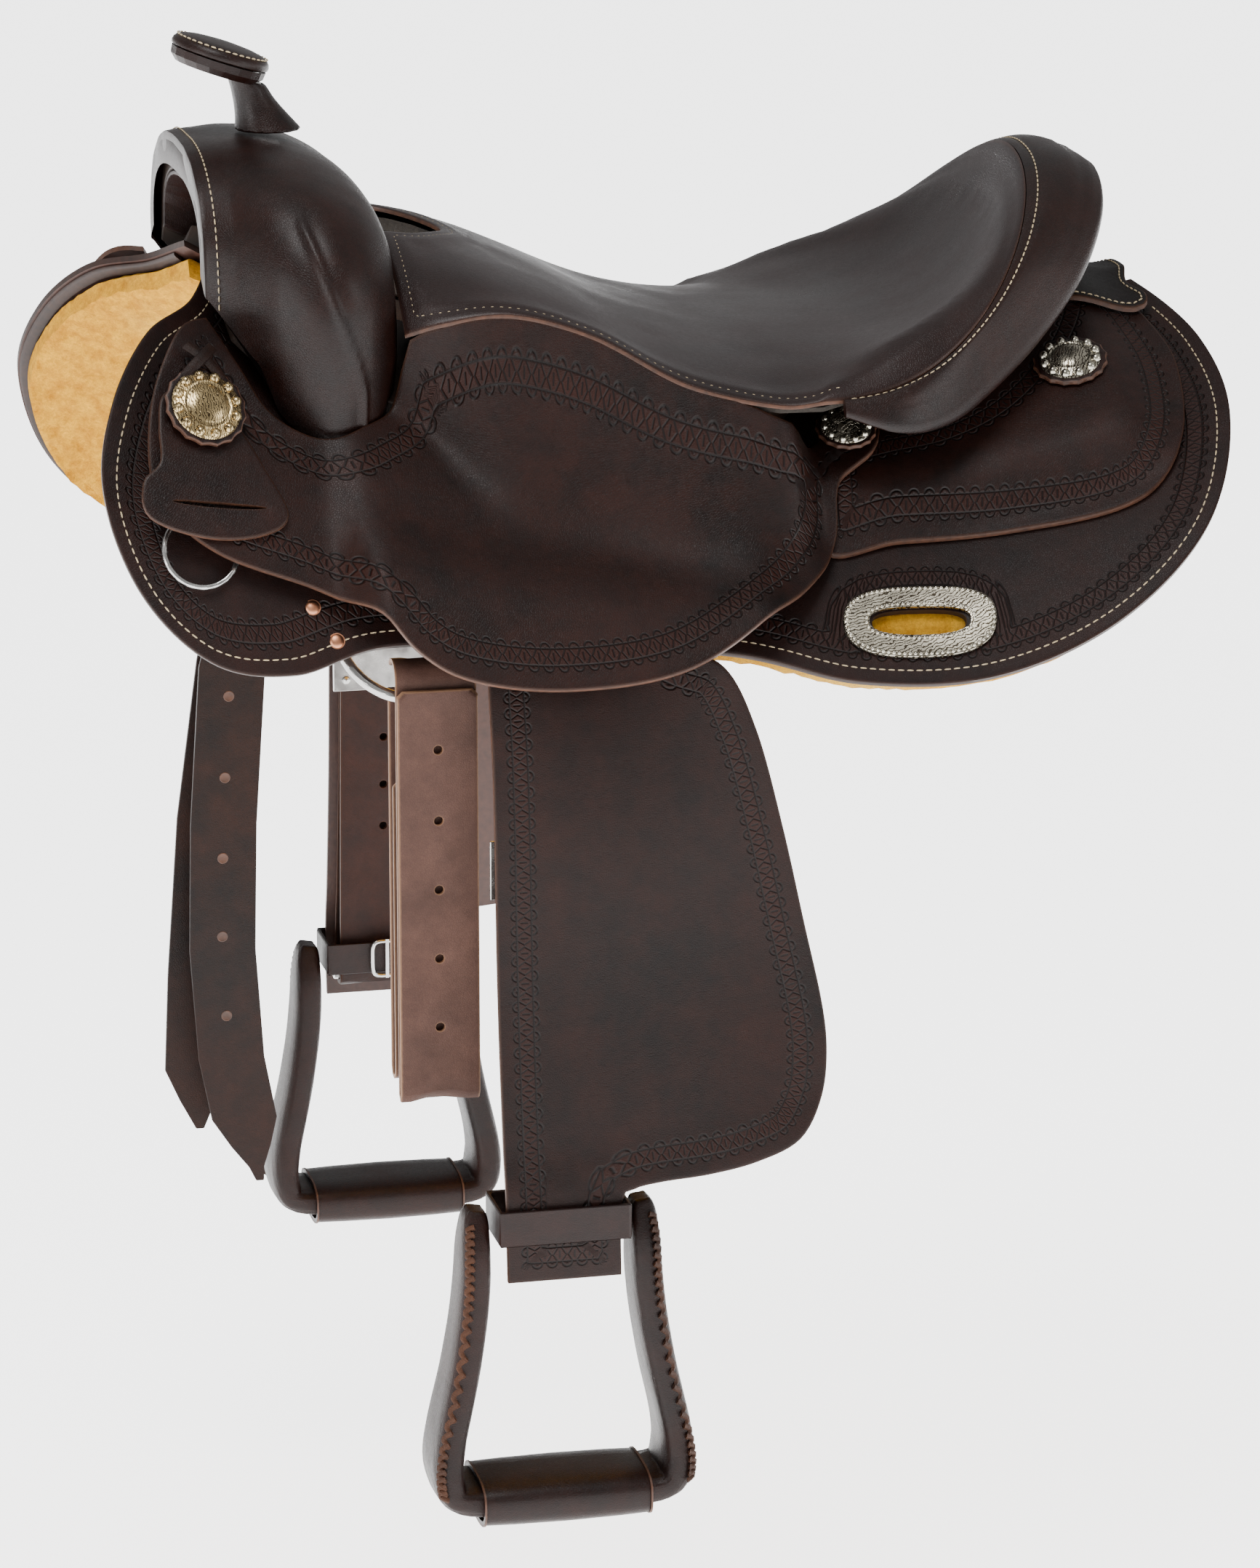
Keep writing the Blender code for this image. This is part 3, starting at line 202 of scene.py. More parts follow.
def spline(pts, step, closed=True):
    """Smooth outline through points; a third entry marks a sharp corner."""
    n = len(pts)
    out = []
    for i in range(n if closed else n - 1):
        a, b = pts[i], pts[(i + 1) % n]
        before = pts[i - 1] if (closed or i) and len(a) < 3 else a
        after = pts[(i + 2) % n] if (closed or i + 2 < n) and len(b) < 3 else b
        k = max(1, round(math.dist(a[:2], b[:2]) / step))
        for j in range(k):
            u = j / k
            out.append(tuple(0.5 * (2 * a[d] + (b[d] - before[d]) * u
                                    + (2 * before[d] - 5 * a[d] + 4 * b[d] - after[d]) * u * u
                                    + (3 * a[d] - before[d] - 3 * b[d] + after[d]) * u ** 3)
                             for d in (0, 1)))
    return out if closed else out + [tuple(pts[-1][:2])]


def within(pts, loop):
    """Which points lie inside a closed line."""
    a, b = loop, np.roll(loop, -1, 0)
    y, x = pts[:, 1, None], pts[:, 0, None]
    cross = (a[:, 1] > y) != (b[:, 1] > y)
    rise = np.where(b[:, 1] == a[:, 1], 1e-12, b[:, 1] - a[:, 1])
    return (cross & (x < (b[:, 0] - a[:, 0]) * (y - a[:, 1]) / rise + a[:, 0])).sum(1) % 2 == 1


def from_edge(pts, loop):
    """How far points are from a closed line, and how far round it their nearest point is."""
    a, b = loop, np.roll(loop, -1, 0)
    d = b - a
    size = np.maximum((d ** 2).sum(1), 1e-18)
    start = np.concatenate([[0], np.cumsum(np.sqrt(size))])[:-1]
    u = np.clip(((pts[:, None] - a) * d).sum(2) / size, 0, 1)
    gap = np.sqrt(((pts[:, None] - a - u[..., None] * d) ** 2).sum(2))
    k = gap.argmin(1)
    rows = np.arange(len(pts))
    return gap[rows, k], start[k] + u[rows, k] * np.sqrt(size[k])


def inset_line(loop, d):
    """The outline moved inwards by d, with the points that would cross left out."""
    (x, y), (x2, y2) = loop.T, np.roll(loop, -1, 0).T
    side = 1 if (x * y2 - x2 * y).sum() > 0 else -1
    run = np.roll(loop, -1, 0) - np.roll(loop, 1, 0)
    run /= np.maximum(np.linalg.norm(run, axis=1), 1e-12)[:, None]
    moved = loop + side * d * np.stack([-run[:, 1], run[:, 0]], 1)
    gap, _ = from_edge(moved, loop)
    return moved[within(moved, loop) & (gap > 0.96 * d)]


EDGE_ROWS = (0.0006, 0.0014, 0.0028, 0.006, 0.010, 0.014, 0.018, 0.022)


def cut_out(outline, holes=(), step=0.012, fine=0.004, rows=EDGE_ROWS):
    """A flat cut piece as triangles, with rows of points along its edge, and where each lies on the edge."""
    loop, cuts = np.array(spline(outline, fine)), [np.array(h) for h in holes]
    loops = [loop, *cuts]
    around = []
    for hole in cuts:
        out = hole - hole.mean(0)
        around.append(hole + out / np.linalg.norm(out, axis=1)[:, None] * 0.0009)
    more = [p for p in (inset_line(loop, d) for d in rows) if len(p)]
    low, high = loop.min(0), loop.max(0)
    grid = [(x + (step / 2 if k % 2 else 0), y)
            for k, y in enumerate(np.arange(low[1] + step / 2, high[1], step * 0.866))
            for x in np.arange(low[0], high[0], step)]
    grid = np.array(grid).reshape(-1, 2)
    grid = grid[within(grid, loop)]
    grid = grid[from_edge(grid, loop)[0] > rows[-1] + 0.5 * step]
    inner = np.concatenate([*around, *more, grid])
    for hole in cuts:
        inner = inner[~within(inner, hole)]
        inner = inner[from_edge(inner, hole)[0] > 0.0007]
    every = np.concatenate([*loops, inner])
    edges, s = [], 0
    for h in loops:
        edges += [(s + i, s + (i + 1) % len(h)) for i in range(len(h))]
        s += len(h)
    vs, _, fs, _, _, _ = delaunay_2d_cdt([Vector(p) for p in every.tolist()], edges, [], 0, 1e-7)
    vs = np.array([tuple(v) for v in vs])
    tri = np.array([tuple(f) for f in fs if len(f) == 3])
    mid = vs[tri].mean(1)
    solid = within(mid, loop)
    for hole in cuts:
        solid &= ~within(mid, hole)
    gap, run = from_edge(vs, loop)
    length = np.linalg.norm(np.roll(loop, -1, 0) - loop, axis=1).sum()
    for hole in cuts:
        gap = np.minimum(gap, from_edge(vs, hole)[0] + 0.0005)
    return {"pts": vs, "tris": tri[solid], "gap": gap, "run": run, "length": length, "loop": loop}


def dress(ob, name, mats, body, replaced=()):
    """Name a piece, give it its materials and hang it on its body."""
    ob.name = name
    ob.data.name = name
    ob.data.materials.clear()
    for m in mats if isinstance(mats, (list, tuple)) else [mats]:
        ob.data.materials.append(m)
    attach(ob, body)
    if replaced:
        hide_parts(*([replaced] if isinstance(replaced, str) else replaced))
    return ob


def mesh_of(name, verts, faces, sharp=50, turn_out=True):
    me = bpy.data.meshes.new(name)
    me.from_pydata([tuple(v) for v in verts], [], [tuple(int(i) for i in f) for f in faces])
    if turn_out:
        bm = bmesh.new()
        bm.from_mesh(me)
        bmesh.ops.recalc_face_normals(bm, faces=bm.faces)
        bm.to_mesh(me)
        bm.free()
    me.shade_smooth()
    me.set_sharp_from_angle(angle=math.radians(sharp))
    ob = bpy.data.objects.new(name, me)
    bpy.context.scene.collection.objects.link(ob)
    return ob


def lay(name, piece, place, thick, mats, body, replaced=(), soften=0.0008, under=None):
    """Leather as thick as thick over a cut piece; place(u, v, rise) lays it. Its cut edge is rounded."""
    pts, gap = piece["pts"], piece["gap"]
    n = len(pts)
    low = [place(u, v, 0.0 if under is None else under(u, v)) for u, v in pts]
    top = []
    for (u, v), d in zip(pts, gap):
        k = 1 - min(1.0, d / (soften * 2.4))
        top.append(place(u, v, thick - soften * (1 - math.sqrt(max(0.0, 1 - k * k)))))
    tri = piece["tris"]
    seen = {}
    for t in tri:
        for i in range(3):
            seen[(t[i], t[(i + 1) % 3])] = 1
    rim = [(a, b) for a, b in seen if (b, a) not in seen]
    faces = [(c, b, a) for a, b, c in tri] + [(a + n, b + n, c + n) for a, b, c in tri]
    faces += [(a, b, b + n, a + n) for a, b in rim]
    ob = mesh_of(name, low + top, faces)
    me = ob.data
    edge = me.attributes.new("edge", "FLOAT_VECTOR", "CORNER")
    idx = np.zeros(len(me.loops), np.int32)
    me.loops.foreach_get("vertex_index", idx)
    start = np.zeros(len(me.polygons), np.int32)
    me.polygons.foreach_get("loop_start", start)
    run = piece["run"][idx % n]
    first = np.repeat(run[start], np.diff(np.append(start, len(idx))))
    run = run + np.where(run - first > piece["length"] / 2, -piece["length"], 0) \
        + np.where(first - run > piece["length"] / 2, piece["length"], 0)
    values = np.stack([run, gap[idx % n], (idx >= n) * 1.0], 1)
    edge.data.foreach_set("vector", values.astype(np.float32).ravel())
    dress(ob, name, mats, body, replaced)
    if len(me.materials) > 1:
        count = len(tri)
        which = np.zeros(len(me.polygons), np.int32)
        which[2 * count:] = 1
        which[:count] = min(2, len(me.materials) - 1)
        me.polygons.foreach_set("material_index", which)
    return ob


FLEECE_EDGE = [(-0.300, 0.040, 1), (-0.314, 0.078), (-0.342, 0.122), (-0.367, 0.180), (-0.377, 0.231),
               (-0.362, 0.272), (-0.329, 0.291), (-0.290, 0.283), (-0.278, 0.276, 1), (-0.272, 0.180, 1),
               (-0.250, 0.140, 1), (-0.184, 0.140, 1), (-0.166, 0.180, 1), (-0.166, 0.228, 1),
               (-0.140, 0.229), (-0.043, 0.230), (0.028, 0.252), (0.106, 0.263), (0.176, 0.252),
               (0.229, 0.218), (0.256, 0.157), (0.258, 0.090), (0.243, 0.010, 1), (0.205, 0.010),
               (0.150, 0.032), (0.050, 0.036), (-0.200, 0.038)]


def wool():
    m, t, at = blank("gold_wool")
    clump = add(t, "TexNoise", "Fac", Vector=at, Scale=120.0, Detail=6.0, Roughness=0.75)
    fibre = add(t, "TexNoise", "Fac", Vector=at, Scale=700.0, Detail=5.0, Roughness=0.8)
    pale_patch = add(t, "TexNoise", "Fac", Vector=at, Scale=11.0, Detail=3.0)
    body = blend_colour(t, spread(t, clump, 0.34, 0.66), (0.55, 0.215, 0.008, 1), (1.0, 0.52, 0.030, 1))
    body = blend_colour(t, spread(t, pale_patch, 0.5, 0.72, 0.0, 0.55), body, (1.0, 0.66, 0.16, 1))
    body = blend_colour(t, spread(t, fibre, 0.38, 0.58, 0.35, 0.0), body, (0.30, 0.110, 0.008, 1))
    surface(t, Base_Color=body, Roughness=0.95, Sheen_Weight=0.25, Sheen_Roughness=0.6,
            Sheen_Tint=(1.0, 0.62, 0.15, 1), Specular_IOR_Level=0.1,
            Normal=add(t, "Bump", "Normal", Strength=0.9, Distance=0.002,
                       Height=calc(t, "ADD", clump, fibre)))
    return m


gold_wool = wool()
pile = cut_out(FLEECE_EDGE, step=0.0055, fine=0.005, rows=(0.0025, 0.006))
for side, tag in SIDES:
    def wool_at(x, t, up):
        p = back(x, t, up, side)
        n = noise.noise(p * 150) * 0.5 + noise.noise(p * 330) * 0.35 + noise.noise(p * 700) * 0.2
        if up < 0.004:
            return back(x, t, up - 0.0035 + 0.0045 * n, side)
        return p
    fleece = lay("fleece_pile_" + tag, pile, wool_at, FLEECE, gold_wool, "saddle",
                 "fleece_" + tag, 0.0040)
    me = fleece.data
    for v in me.vertices:
        x, y, z = v.co
        t, off = unback(x, y, z)
        if off > 0.0015:
            d = from_edge(np.array([[x, t]]), pile["loop"])[0][0] if off < FLEECE - 0.0002 else 9
            if d < 0.004:
                n = noise.noise(v.co * 260) + 0.6 * noise.noise(v.co * 600)
                v.co += Vector(back(x, t + 0.004, off, side) - back(x, t, off, side)) * (0.05 + 0.35 * n)


# ---- skirts ------------------------------------------------------------------------------------
# Each skirt is two thick hides sewn together round the edge, with a stamped border on the outer one.
# An oval is cut through for the plated slot.
def groove(tree, distance, half):
    """1 in the middle of a pressed line, 0 at half its width away."""
    return add(tree, "MapRange", interpolation_type="SMOOTHSTEP", Value=calc(tree, "ABSOLUTE", distance),
               From_Min=0.0, From_Max=half, To_Min=1.0, To_Max=0.0)


def edge_of(tree):
    """How far round its cut edge a point lies, and how far in from it."""
    edge = add(tree, "Attribute", "Vector", attribute_name="edge")
    return [add(tree, "SeparateXYZ", k, _0=edge) for k in (0, 1)]


def stamped_border(tree, middle, half, pitch):
    """Depth of a stamped border along a cut edge: bow ties between two lines, with scallops outside."""
    run, inset = edge_of(tree)
    a = calc(tree, "MULTIPLY",
             calc(tree, "SUBTRACT", calc(tree, "FRACT", calc(tree, "DIVIDE", run, pitch)), 0.5), pitch)
    b = calc(tree, "ABSOLUTE", calc(tree, "SUBTRACT", inset, middle))
    within = calc(tree, "LESS_THAN", b, half * 0.86)
    beyond = calc(tree, "GREATER_THAN", b, half)
    wide = calc(tree, "ABSOLUTE", a)
    lines = groove(tree, calc(tree, "SUBTRACT", b, half), 0.0009)
    bow = groove(tree, calc(tree, "SUBTRACT", wide, calc(tree, "MULTIPLY_ADD", b, 0.62, 0.0006)), 0.0009)
    stem = calc(tree, "MULTIPLY", groove(tree, calc(tree, "SUBTRACT", wide, pitch * 0.5), 0.0008),
                calc(tree, "LESS_THAN", b, half * 0.5))
    out = calc(tree, "SUBTRACT", b, half + 0.0002)
    ring = calc(tree, "SQRT",
                calc(tree, "ADD", calc(tree, "MULTIPLY", a, a), calc(tree, "MULTIPLY", out, out)))
    scallop = groove(tree, calc(tree, "SUBTRACT", ring, 0.0027), 0.0009)
    pip = groove(tree, ring, 0.0014)
    inner = calc(tree, "MULTIPLY", calc(tree, "MAXIMUM", bow, stem), within)
    outer = calc(tree, "MULTIPLY", calc(tree, "MAXIMUM", scallop, pip), beyond)
    return calc(tree, "MAXIMUM", lines, calc(tree, "MAXIMUM", inner, outer)), inset


def leather(name, dark, light, rough=0.42, grain=1.0, border=None, sheen=0.0, cut=None, clear=0.0):
    """Vegetable-tanned cowhide in an uneven dark dye. The border is stamped while the hide is damp: its
    middle, half width and pitch; cut is the colour of the raw edge."""
    m, t, at = blank(name)
    cloud = add(t, "TexNoise", "Fac", Vector=at, Scale=9.0, Detail=5.0, Roughness=0.62)
    mottle = add(t, "TexNoise", "Fac", Vector=at, Scale=55.0, Detail=7.0, Roughness=0.7)
    pores = add(t, "TexVoronoi", "Distance", Vector=at, Scale=820.0, feature="DISTANCE_TO_EDGE")
    fine = add(t, "TexNoise", "Fac", Vector=at, Scale=420.0, Detail=4.0, Roughness=0.6)
    creases = add(t, "TexNoise", "Fac", Vector=at, Scale=26.0, Detail=8.0, Roughness=0.75, Distortion=0.6)
    tone = calc(t, "ADD", calc(t, "MULTIPLY", spread(t, cloud, 0.36, 0.66), 0.55),
                calc(t, "MULTIPLY", spread(t, mottle, 0.38, 0.68), 0.5))
    tone = calc(t, "MULTIPLY", tone, spread(t, pores, 0.0, 0.10, 0.55, 1.0))
    colour = blend_colour(t, tone, (*dark, 1), (*light, 1))
    height = calc(t, "ADD", calc(t, "MULTIPLY", spread(t, pores, 0.0, 0.16), 0.30 * grain),
                  calc(t, "ADD", calc(t, "MULTIPLY", fine, 0.25 * grain),
                       calc(t, "MULTIPLY", creases, 0.55)))
    shine = spread(t, calc(t, "ADD", cloud, calc(t, "MULTIPLY", fine, 0.5)), 0.5, 1.0, rough - 0.07,
                   rough + 0.13)
    if border:
        deep, inset = stamped_border(t, *border)
        # Painted shade: the colour goes nearly black down the stamped grooves.
        colour = blend_colour(t, calc(t, "MULTIPLY", deep, 0.88), colour, (0.0022, 0.0009, 0.0007, 1))
        # Painted highlight: the raised band of the border, between its grooves, is painted lighter.
        wear_and_painted_highlight = calc(t, "MULTIPLY", groove(t, calc(t, "SUBTRACT", inset, border[0]), border[1] * 1.9),
                    calc(t, "SUBTRACT", 1.0, deep))
        colour = blend_colour(t, calc(t, "MULTIPLY", wear_and_painted_highlight, 0.35), colour,
                              (light[0] * 1.6, light[1] * 1.5, light[2] * 1.4, 1))
        height = calc(t, "SUBTRACT", height, calc(t, "MULTIPLY", deep, 4.5))
    if cut:
        raw = spread(t, calc(t, "ADD", edge_of(t)[1], calc(t, "MULTIPLY", fine, 0.0006)), 0.0004, 0.0015,
                     1.0, 0.0)
        colour = blend_colour(t, calc(t, "MULTIPLY", raw, 0.85), colour, (*cut, 1))
    surface(t, Base_Color=colour, Roughness=shine, Specular_IOR_Level=0.20, Coat_Weight=clear,
            Coat_Roughness=0.32, Sheen_Weight=sheen, Sheen_Roughness=0.45, Sheen_Tint=(0.75, 0.68, 0.72, 1),
            Normal=add(t, "Bump", "Normal", Strength=0.55, Distance=0.0005, Height=height))
    return m


PI = math.pi


def striped_edge(name, colour, stripes):
    """A thick cut edge of stacked leathers, burnished: its colour is mottled with a tone stripes times as
    bright.
    """
    m, t, at = blank(name)
    fibre = add(t, "TexNoise", "Fac", Vector=at, Scale=260.0, Detail=5.0)
    wide = add(t, "TexNoise", "Fac", Vector=at, Scale=18.0, Detail=3.0)
    mixed = blend_colour(t, spread(t, calc(t, "ADD", fibre, calc(t, "MULTIPLY", wide, 0.6)), 0.55, 1.1),
                         (*colour, 1),
                         (*[c * stripes for c in colour], 1))
    surface(t, Base_Color=mixed, Roughness=0.55,
            Normal=add(t, "Bump", "Normal", Strength=0.5, Distance=0.0004, Height=fibre))
    return m


dark_edge = striped_edge("burnished_edge", (0.010, 0.0038, 0.0022), 3.0)
flesh_side = striped_edge("flesh_side", (0.030, 0.011, 0.007), 1.9)


def thread_colour(name, colour):
    """Waxed linen thread, twisted."""
    m, t, at = blank(name)
    twist = add(t, "TexNoise", "Fac", Vector=at, Scale=900.0, Detail=3.0)
    surface(t, Base_Color=blend_colour(t, twist, (*[c * 0.55 for c in colour], 1), (*colour, 1)),
            Roughness=0.6,
            Normal=add(t, "Bump", "Normal", Strength=0.6, Distance=0.0003, Height=twist))
    return m


cream_thread = thread_colour("cream_thread", (0.56, 0.44, 0.27))


def loft(rings, loop=False):
    """Points and faces of a skin over rings of points, closed end to end or capped."""
    m, n = len(rings[0]), len(rings)
    verts = [p for r in rings for p in r]
    faces = [(i * m + j, i * m + (j + 1) % m, ((i + 1) % n) * m + (j + 1) % m, ((i + 1) % n) * m + j)
             for i in range(n if loop else n - 1) for j in range(m)]
    if not loop:
        faces += [tuple(range(m))[::-1], tuple((n - 1) * m + j for j in range(m))]
    return verts, faces


def join(verts, faces, rings):
    """Add a capped loft to the lists of a piece made of many."""
    s = len(verts)
    more, sides = loft(rings)
    verts += more
    faces += [tuple(s + i for i in f) for f in sides]


STITCH = ((-0.5, 0.25, -0.5), (-0.36, 0.85, 0.1), (0.0, 1.0, 0.35), (0.36, 0.85, 0.1), (0.5, 0.25, -0.5))


def sew(name, runs, body, pitch=0.0046, long=0.0034, wide=0.0009, mat=None):
    """A row of stitches as one piece; runs are lists of (point, outward normal) along each seam."""
    verts, faces = [], []
    for run in runs:
        far, due = 0.0, pitch / 2
        for (p, n), (q, _) in zip(run, run[1:]):
            step = (q - p).length
            while step > 1e-7 and due <= far + step:
                c = p.lerp(q, (due - far) / step)
                a = (q - p).normalized()
                b = n.cross(a).normalized()
                join(verts, faces,
                     [[c + a * u * long + (b * math.cos(w) + n * (math.sin(w) + up)) * r * wide / 2
                                     for w in (PI * k / 3 for k in range(6))] for u, r, up in STITCH])
                due += pitch
            far += step
    ob = mesh_of(name, verts, faces, 80, False)
    return dress(ob, name, mat or cream_thread, body)


def seam_in(piece, place, inset, rise, where=lambda u, v: True):
    """The runs of a seam at inset from a cut piece's edge, where the test holds."""
    line = inset_line(piece["loop"], inset)
    runs, run = [], []
    for u, v in list(line) + [line[0]]:
        if where(u, v) and (not run or math.dist((u, v), last) < 0.012):
            p, q = place(u, v, rise), place(u, v, rise + 0.004)
            run.append((p, (q - p).normalized()))
        else:
            runs.append(run)
            run = []
        last = (u, v)
    return [r for r in runs + [run] if len(r) > 1]


SKIRT = [(-0.302, 0.036, 1), (-0.318, 0.078), (-0.347, 0.120), (-0.372, 0.178), (-0.382, 0.232),
         (-0.366, 0.277), (-0.330, 0.297), (-0.285, 0.286), (-0.231, 0.254), (-0.140, 0.234),
         (-0.043, 0.236), (0.028, 0.258), (0.106, 0.269), (0.179, 0.257), (0.234, 0.221), (0.262, 0.158),
         (0.264, 0.088), (0.248, 0.006, 1), (0.205, 0.006), (0.150, 0.028), (0.050, 0.032), (-0.200, 0.034)]
SLOT_AT, SLOT_TURN = (0.066, 0.2290), 0.17


def squarish(w, power, power_up=None):
    """A circle's (x, y) at angle w, pushed out towards a square."""
    c, s = math.cos(w), math.sin(w)
    return math.copysign(abs(c) ** power, c), math.copysign(abs(s) ** (power_up or power), s)


def oblong(cx, ct, a, b, turn, n=44):
    """An oval with flattened sides, half sizes a and b."""
    out = []
    for i in range(n):
        u, v = squarish(2 * PI * i / n, 0.72, 0.80)
        u, v = a * u, b * v
        out.append((cx + u * math.cos(turn) - v * math.sin(turn),
                    ct + u * math.sin(turn) + v * math.cos(turn)))
    return out


skirt_hide = leather("skirt_hide", (0.0034, 0.0010, 0.0007), (0.0175, 0.0040, 0.0021), 0.46,
                     border=(0.0205, 0.0046, 0.0088),
                     cut=(0.022, 0.008, 0.004), clear=0.03)
skirt_flat = cut_out(SKIRT, [oblong(*SLOT_AT, 0.0265, 0.0078, SLOT_TURN)], 0.013,
                     rows=(0.0006, 0.0014, 0.0028, 0.006, 0.0105, 0.0145, 0.0185, 0.0225, 0.0265, 0.031))
for side, tag in SIDES:
    def on_skirt(x, t, up):
        return back(x, t, SKIRT_IN + up, side)
    lay("skirt_hide_" + tag, skirt_flat, on_skirt, SKIRT_OUT - SKIRT_IN,
        [skirt_hide, dark_edge, flesh_side], "saddle",
        "skirt_" + tag, 0.0007)
    sew("skirt_stitching_" + tag,
        seam_in(skirt_flat, on_skirt, 0.0078, SKIRT_OUT - SKIRT_IN, lambda x, t: t > 0.045),
        "saddle", 0.0052, 0.0037)

# The second hide shows as a step under the first along the lower edge.
WELT = ((0.006, 0.0095), (0.0022, 0.0098), (0.0010, 0.0104), (0.0010, 0.0118), (0.0022, 0.01235),
        (0.006, 0.01235))
welt = spline(SKIRT, 0.006)
for side, tag in SIDES:
    rings = []
    for i, (x, t) in enumerate(welt):
        if t < 0.05:
            continue
        (x0, t0), (x1, t1) = welt[i - 1], welt[(i + 1) % len(welt)]
        run = Vector((x1 - x0, t1 - t0)).normalized()
        across = Vector((run.y, -run.x))
        if not within(np.array([tuple(Vector((x, t)) + across * 0.004)]), skirt_flat["loop"])[0]:
            across = -across
        rings.append([back(*(Vector((x, t)) + across * inset), up, side) for inset, up in WELT])
    name = "skirt_welt_" + tag
    dress(mesh_of(name, *loft(rings), 60), name, dark_edge, "saddle")


# ---- slot plates -------------------------------------------------------------------------------
# A die-struck oval plate of silvered brass lines the slot in each skirt. It is beaded round both
# rims and engraved between them.
def metal(name, colour, rough, engraved=0.0, scale=260.0, tarnish=(0.05, 0.035, 0.02)):
    """Polished metal, or engraved with scrolls whose cuts hold dark tarnish."""
    m, t, at = blank(name)
    cloud = add(t, "TexNoise", "Fac", Vector=at, Scale=60.0, Detail=5.0)
    scratch = add(t, "TexNoise", "Fac", Vector=at, Scale=1500.0, Detail=2.0)
    tint = blend_colour(t, spread(t, cloud, 0.35, 0.7), (*[c * 0.72 for c in colour], 1), (*colour, 1))
    if engraved:
        leaf = add(t, "TexWave", "Fac", Vector=at, Scale=scale * 0.55, Distortion=9.0, Detail=2.0,
                   Detail_Scale=1.4,
                   wave_type="RINGS", rings_direction="SPHERICAL")
        line = spread(t, leaf, 0.10, 0.34, 1.0, 0.0)
        tint = blend_colour(t, calc(t, "MULTIPLY", line, engraved), tint, (*tarnish, 1))
        surface(t,
                Normal=add(t, "Bump", "Normal", Strength=0.8, Distance=0.0004,
                           Height=calc(t, "SUBTRACT", 1.0, line)))
    wear_and_painted_highlight = spread(t, calc(t, "ADD", cloud, calc(t, "MULTIPLY", scratch, 0.3)), 0.4, 1.0, rough - 0.06,
                  rough + 0.14)
    surface(t, Base_Color=tint, Roughness=wear_and_painted_highlight, Metallic=1.0)
    return m


silver = metal("engraved_silver", (0.50, 0.46, 0.37), 0.24, 0.95, 330.0, (0.035, 0.026, 0.016))
bead_silver = metal("bead_silver", (0.62, 0.58, 0.48), 0.20)
warm_silver = metal("gilt_silver", (0.66, 0.50, 0.26), 0.24, 0.9, 380.0, (0.05, 0.030, 0.012))
stainless = metal("stainless_steel", (0.60, 0.59, 0.57), 0.20)
copper = metal("copper", (0.62, 0.28, 0.16), 0.34)


def beads(name, spots, radius, body, mat):
    """A row of half beads; spots are (point, normal) pairs."""
    verts, faces = [], []
    for p, n in spots:
        a = n.orthogonal().normalized()
        b = n.cross(a)
        s = len(verts)
        for lat in (0.0, 0.35, 0.7):
            r, h = radius * math.cos(lat * PI / 2), radius * math.sin(lat * PI / 2)
            verts += [p + (a * math.cos(PI * k / 4) + b * math.sin(PI * k / 4)) * r + n * h
                      for k in range(8)]
        verts += [p + n * radius, p - n * radius * 0.3]
        for q in range(2):
            faces += [(s + 8 * q + k, s + 8 * q + (k + 1) % 8, s + 8 * q + 8 + (k + 1) % 8,
                       s + 8 * q + 8 + k) for k in range(8)]
        faces += [(s + 16 + k, s + 16 + (k + 1) % 8, s + 24) for k in range(8)]
        faces += [(s + (k + 1) % 8, s + k, s + 25) for k in range(8)]
    return dress(mesh_of(name, verts, faces, 80, False), name, mat, body)


def evenly(loop, pitch):
    """Points at an even pitch round a closed line."""
    loop = np.array(loop)
    gaps = np.linalg.norm(np.roll(loop, -1, 0) - loop, axis=1)
    total = gaps.sum()
    count = max(4, round(total / pitch))
    at = np.arange(count) * total / count
    ends = np.concatenate([[0], np.cumsum(gaps)])
    closed = np.concatenate([loop, loop[:1]])
    return [tuple(np.array([np.interp(s, ends, closed[:, d]) for d in (0, 1)])) for s in at]


plate_flat = cut_out(oblong(*SLOT_AT, 0.0430, 0.0215, SLOT_TURN, 16),
                     [oblong(*SLOT_AT, 0.0285, 0.0085, SLOT_TURN)], 0.004, 0.002, (0.0005, 0.0012, 0.0026))
for side, tag in SIDES:
    def on_plate(x, t, up):
        return back(x, t, SKIRT_OUT + 0.0005 + up, side)
    lay("slot_plate_struck_" + tag, plate_flat, on_plate, 0.0022, silver, "saddle",
        "slot_plate_" + tag, 0.0007)
    spots = [(on_plate(x, t, 0.0021), (on_plate(x, t, 0.01) - on_plate(x, t, 0)).normalized())
             for a, b in ((0.0412, 0.0197), (0.0303, 0.0103))
             for x, t in evenly(oblong(*SLOT_AT, a, b, SLOT_TURN), 0.0030)]
    beads("slot_plate_beads_" + tag, spots, 0.0013, "saddle", bead_silver)


# ---- fork, swell cover and horn ----------------------------------------------------------------
# Wet leather is drawn over the fork and sewn round the gullet's front edge; a raised dart takes up
# the slack on each side. The stations run from the front edge over the outside to the rear.
ESPRESSO, CHESTNUT = (0.0036, 0.0011, 0.0007), (0.0190, 0.0044, 0.0022)
plain_hide = leather("plain_hide", ESPRESSO, CHESTNUT, clear=0.12)
JOCKEY_LIFT, LOBE_LIFT, BACK_LIFT = 0.0345, 0.0260, 0.0174


def smooth(a, b, v):
    u = min(1.0, max(0.0, (v - a) / (b - a)))
    return u * u * (3 - 2 * u)


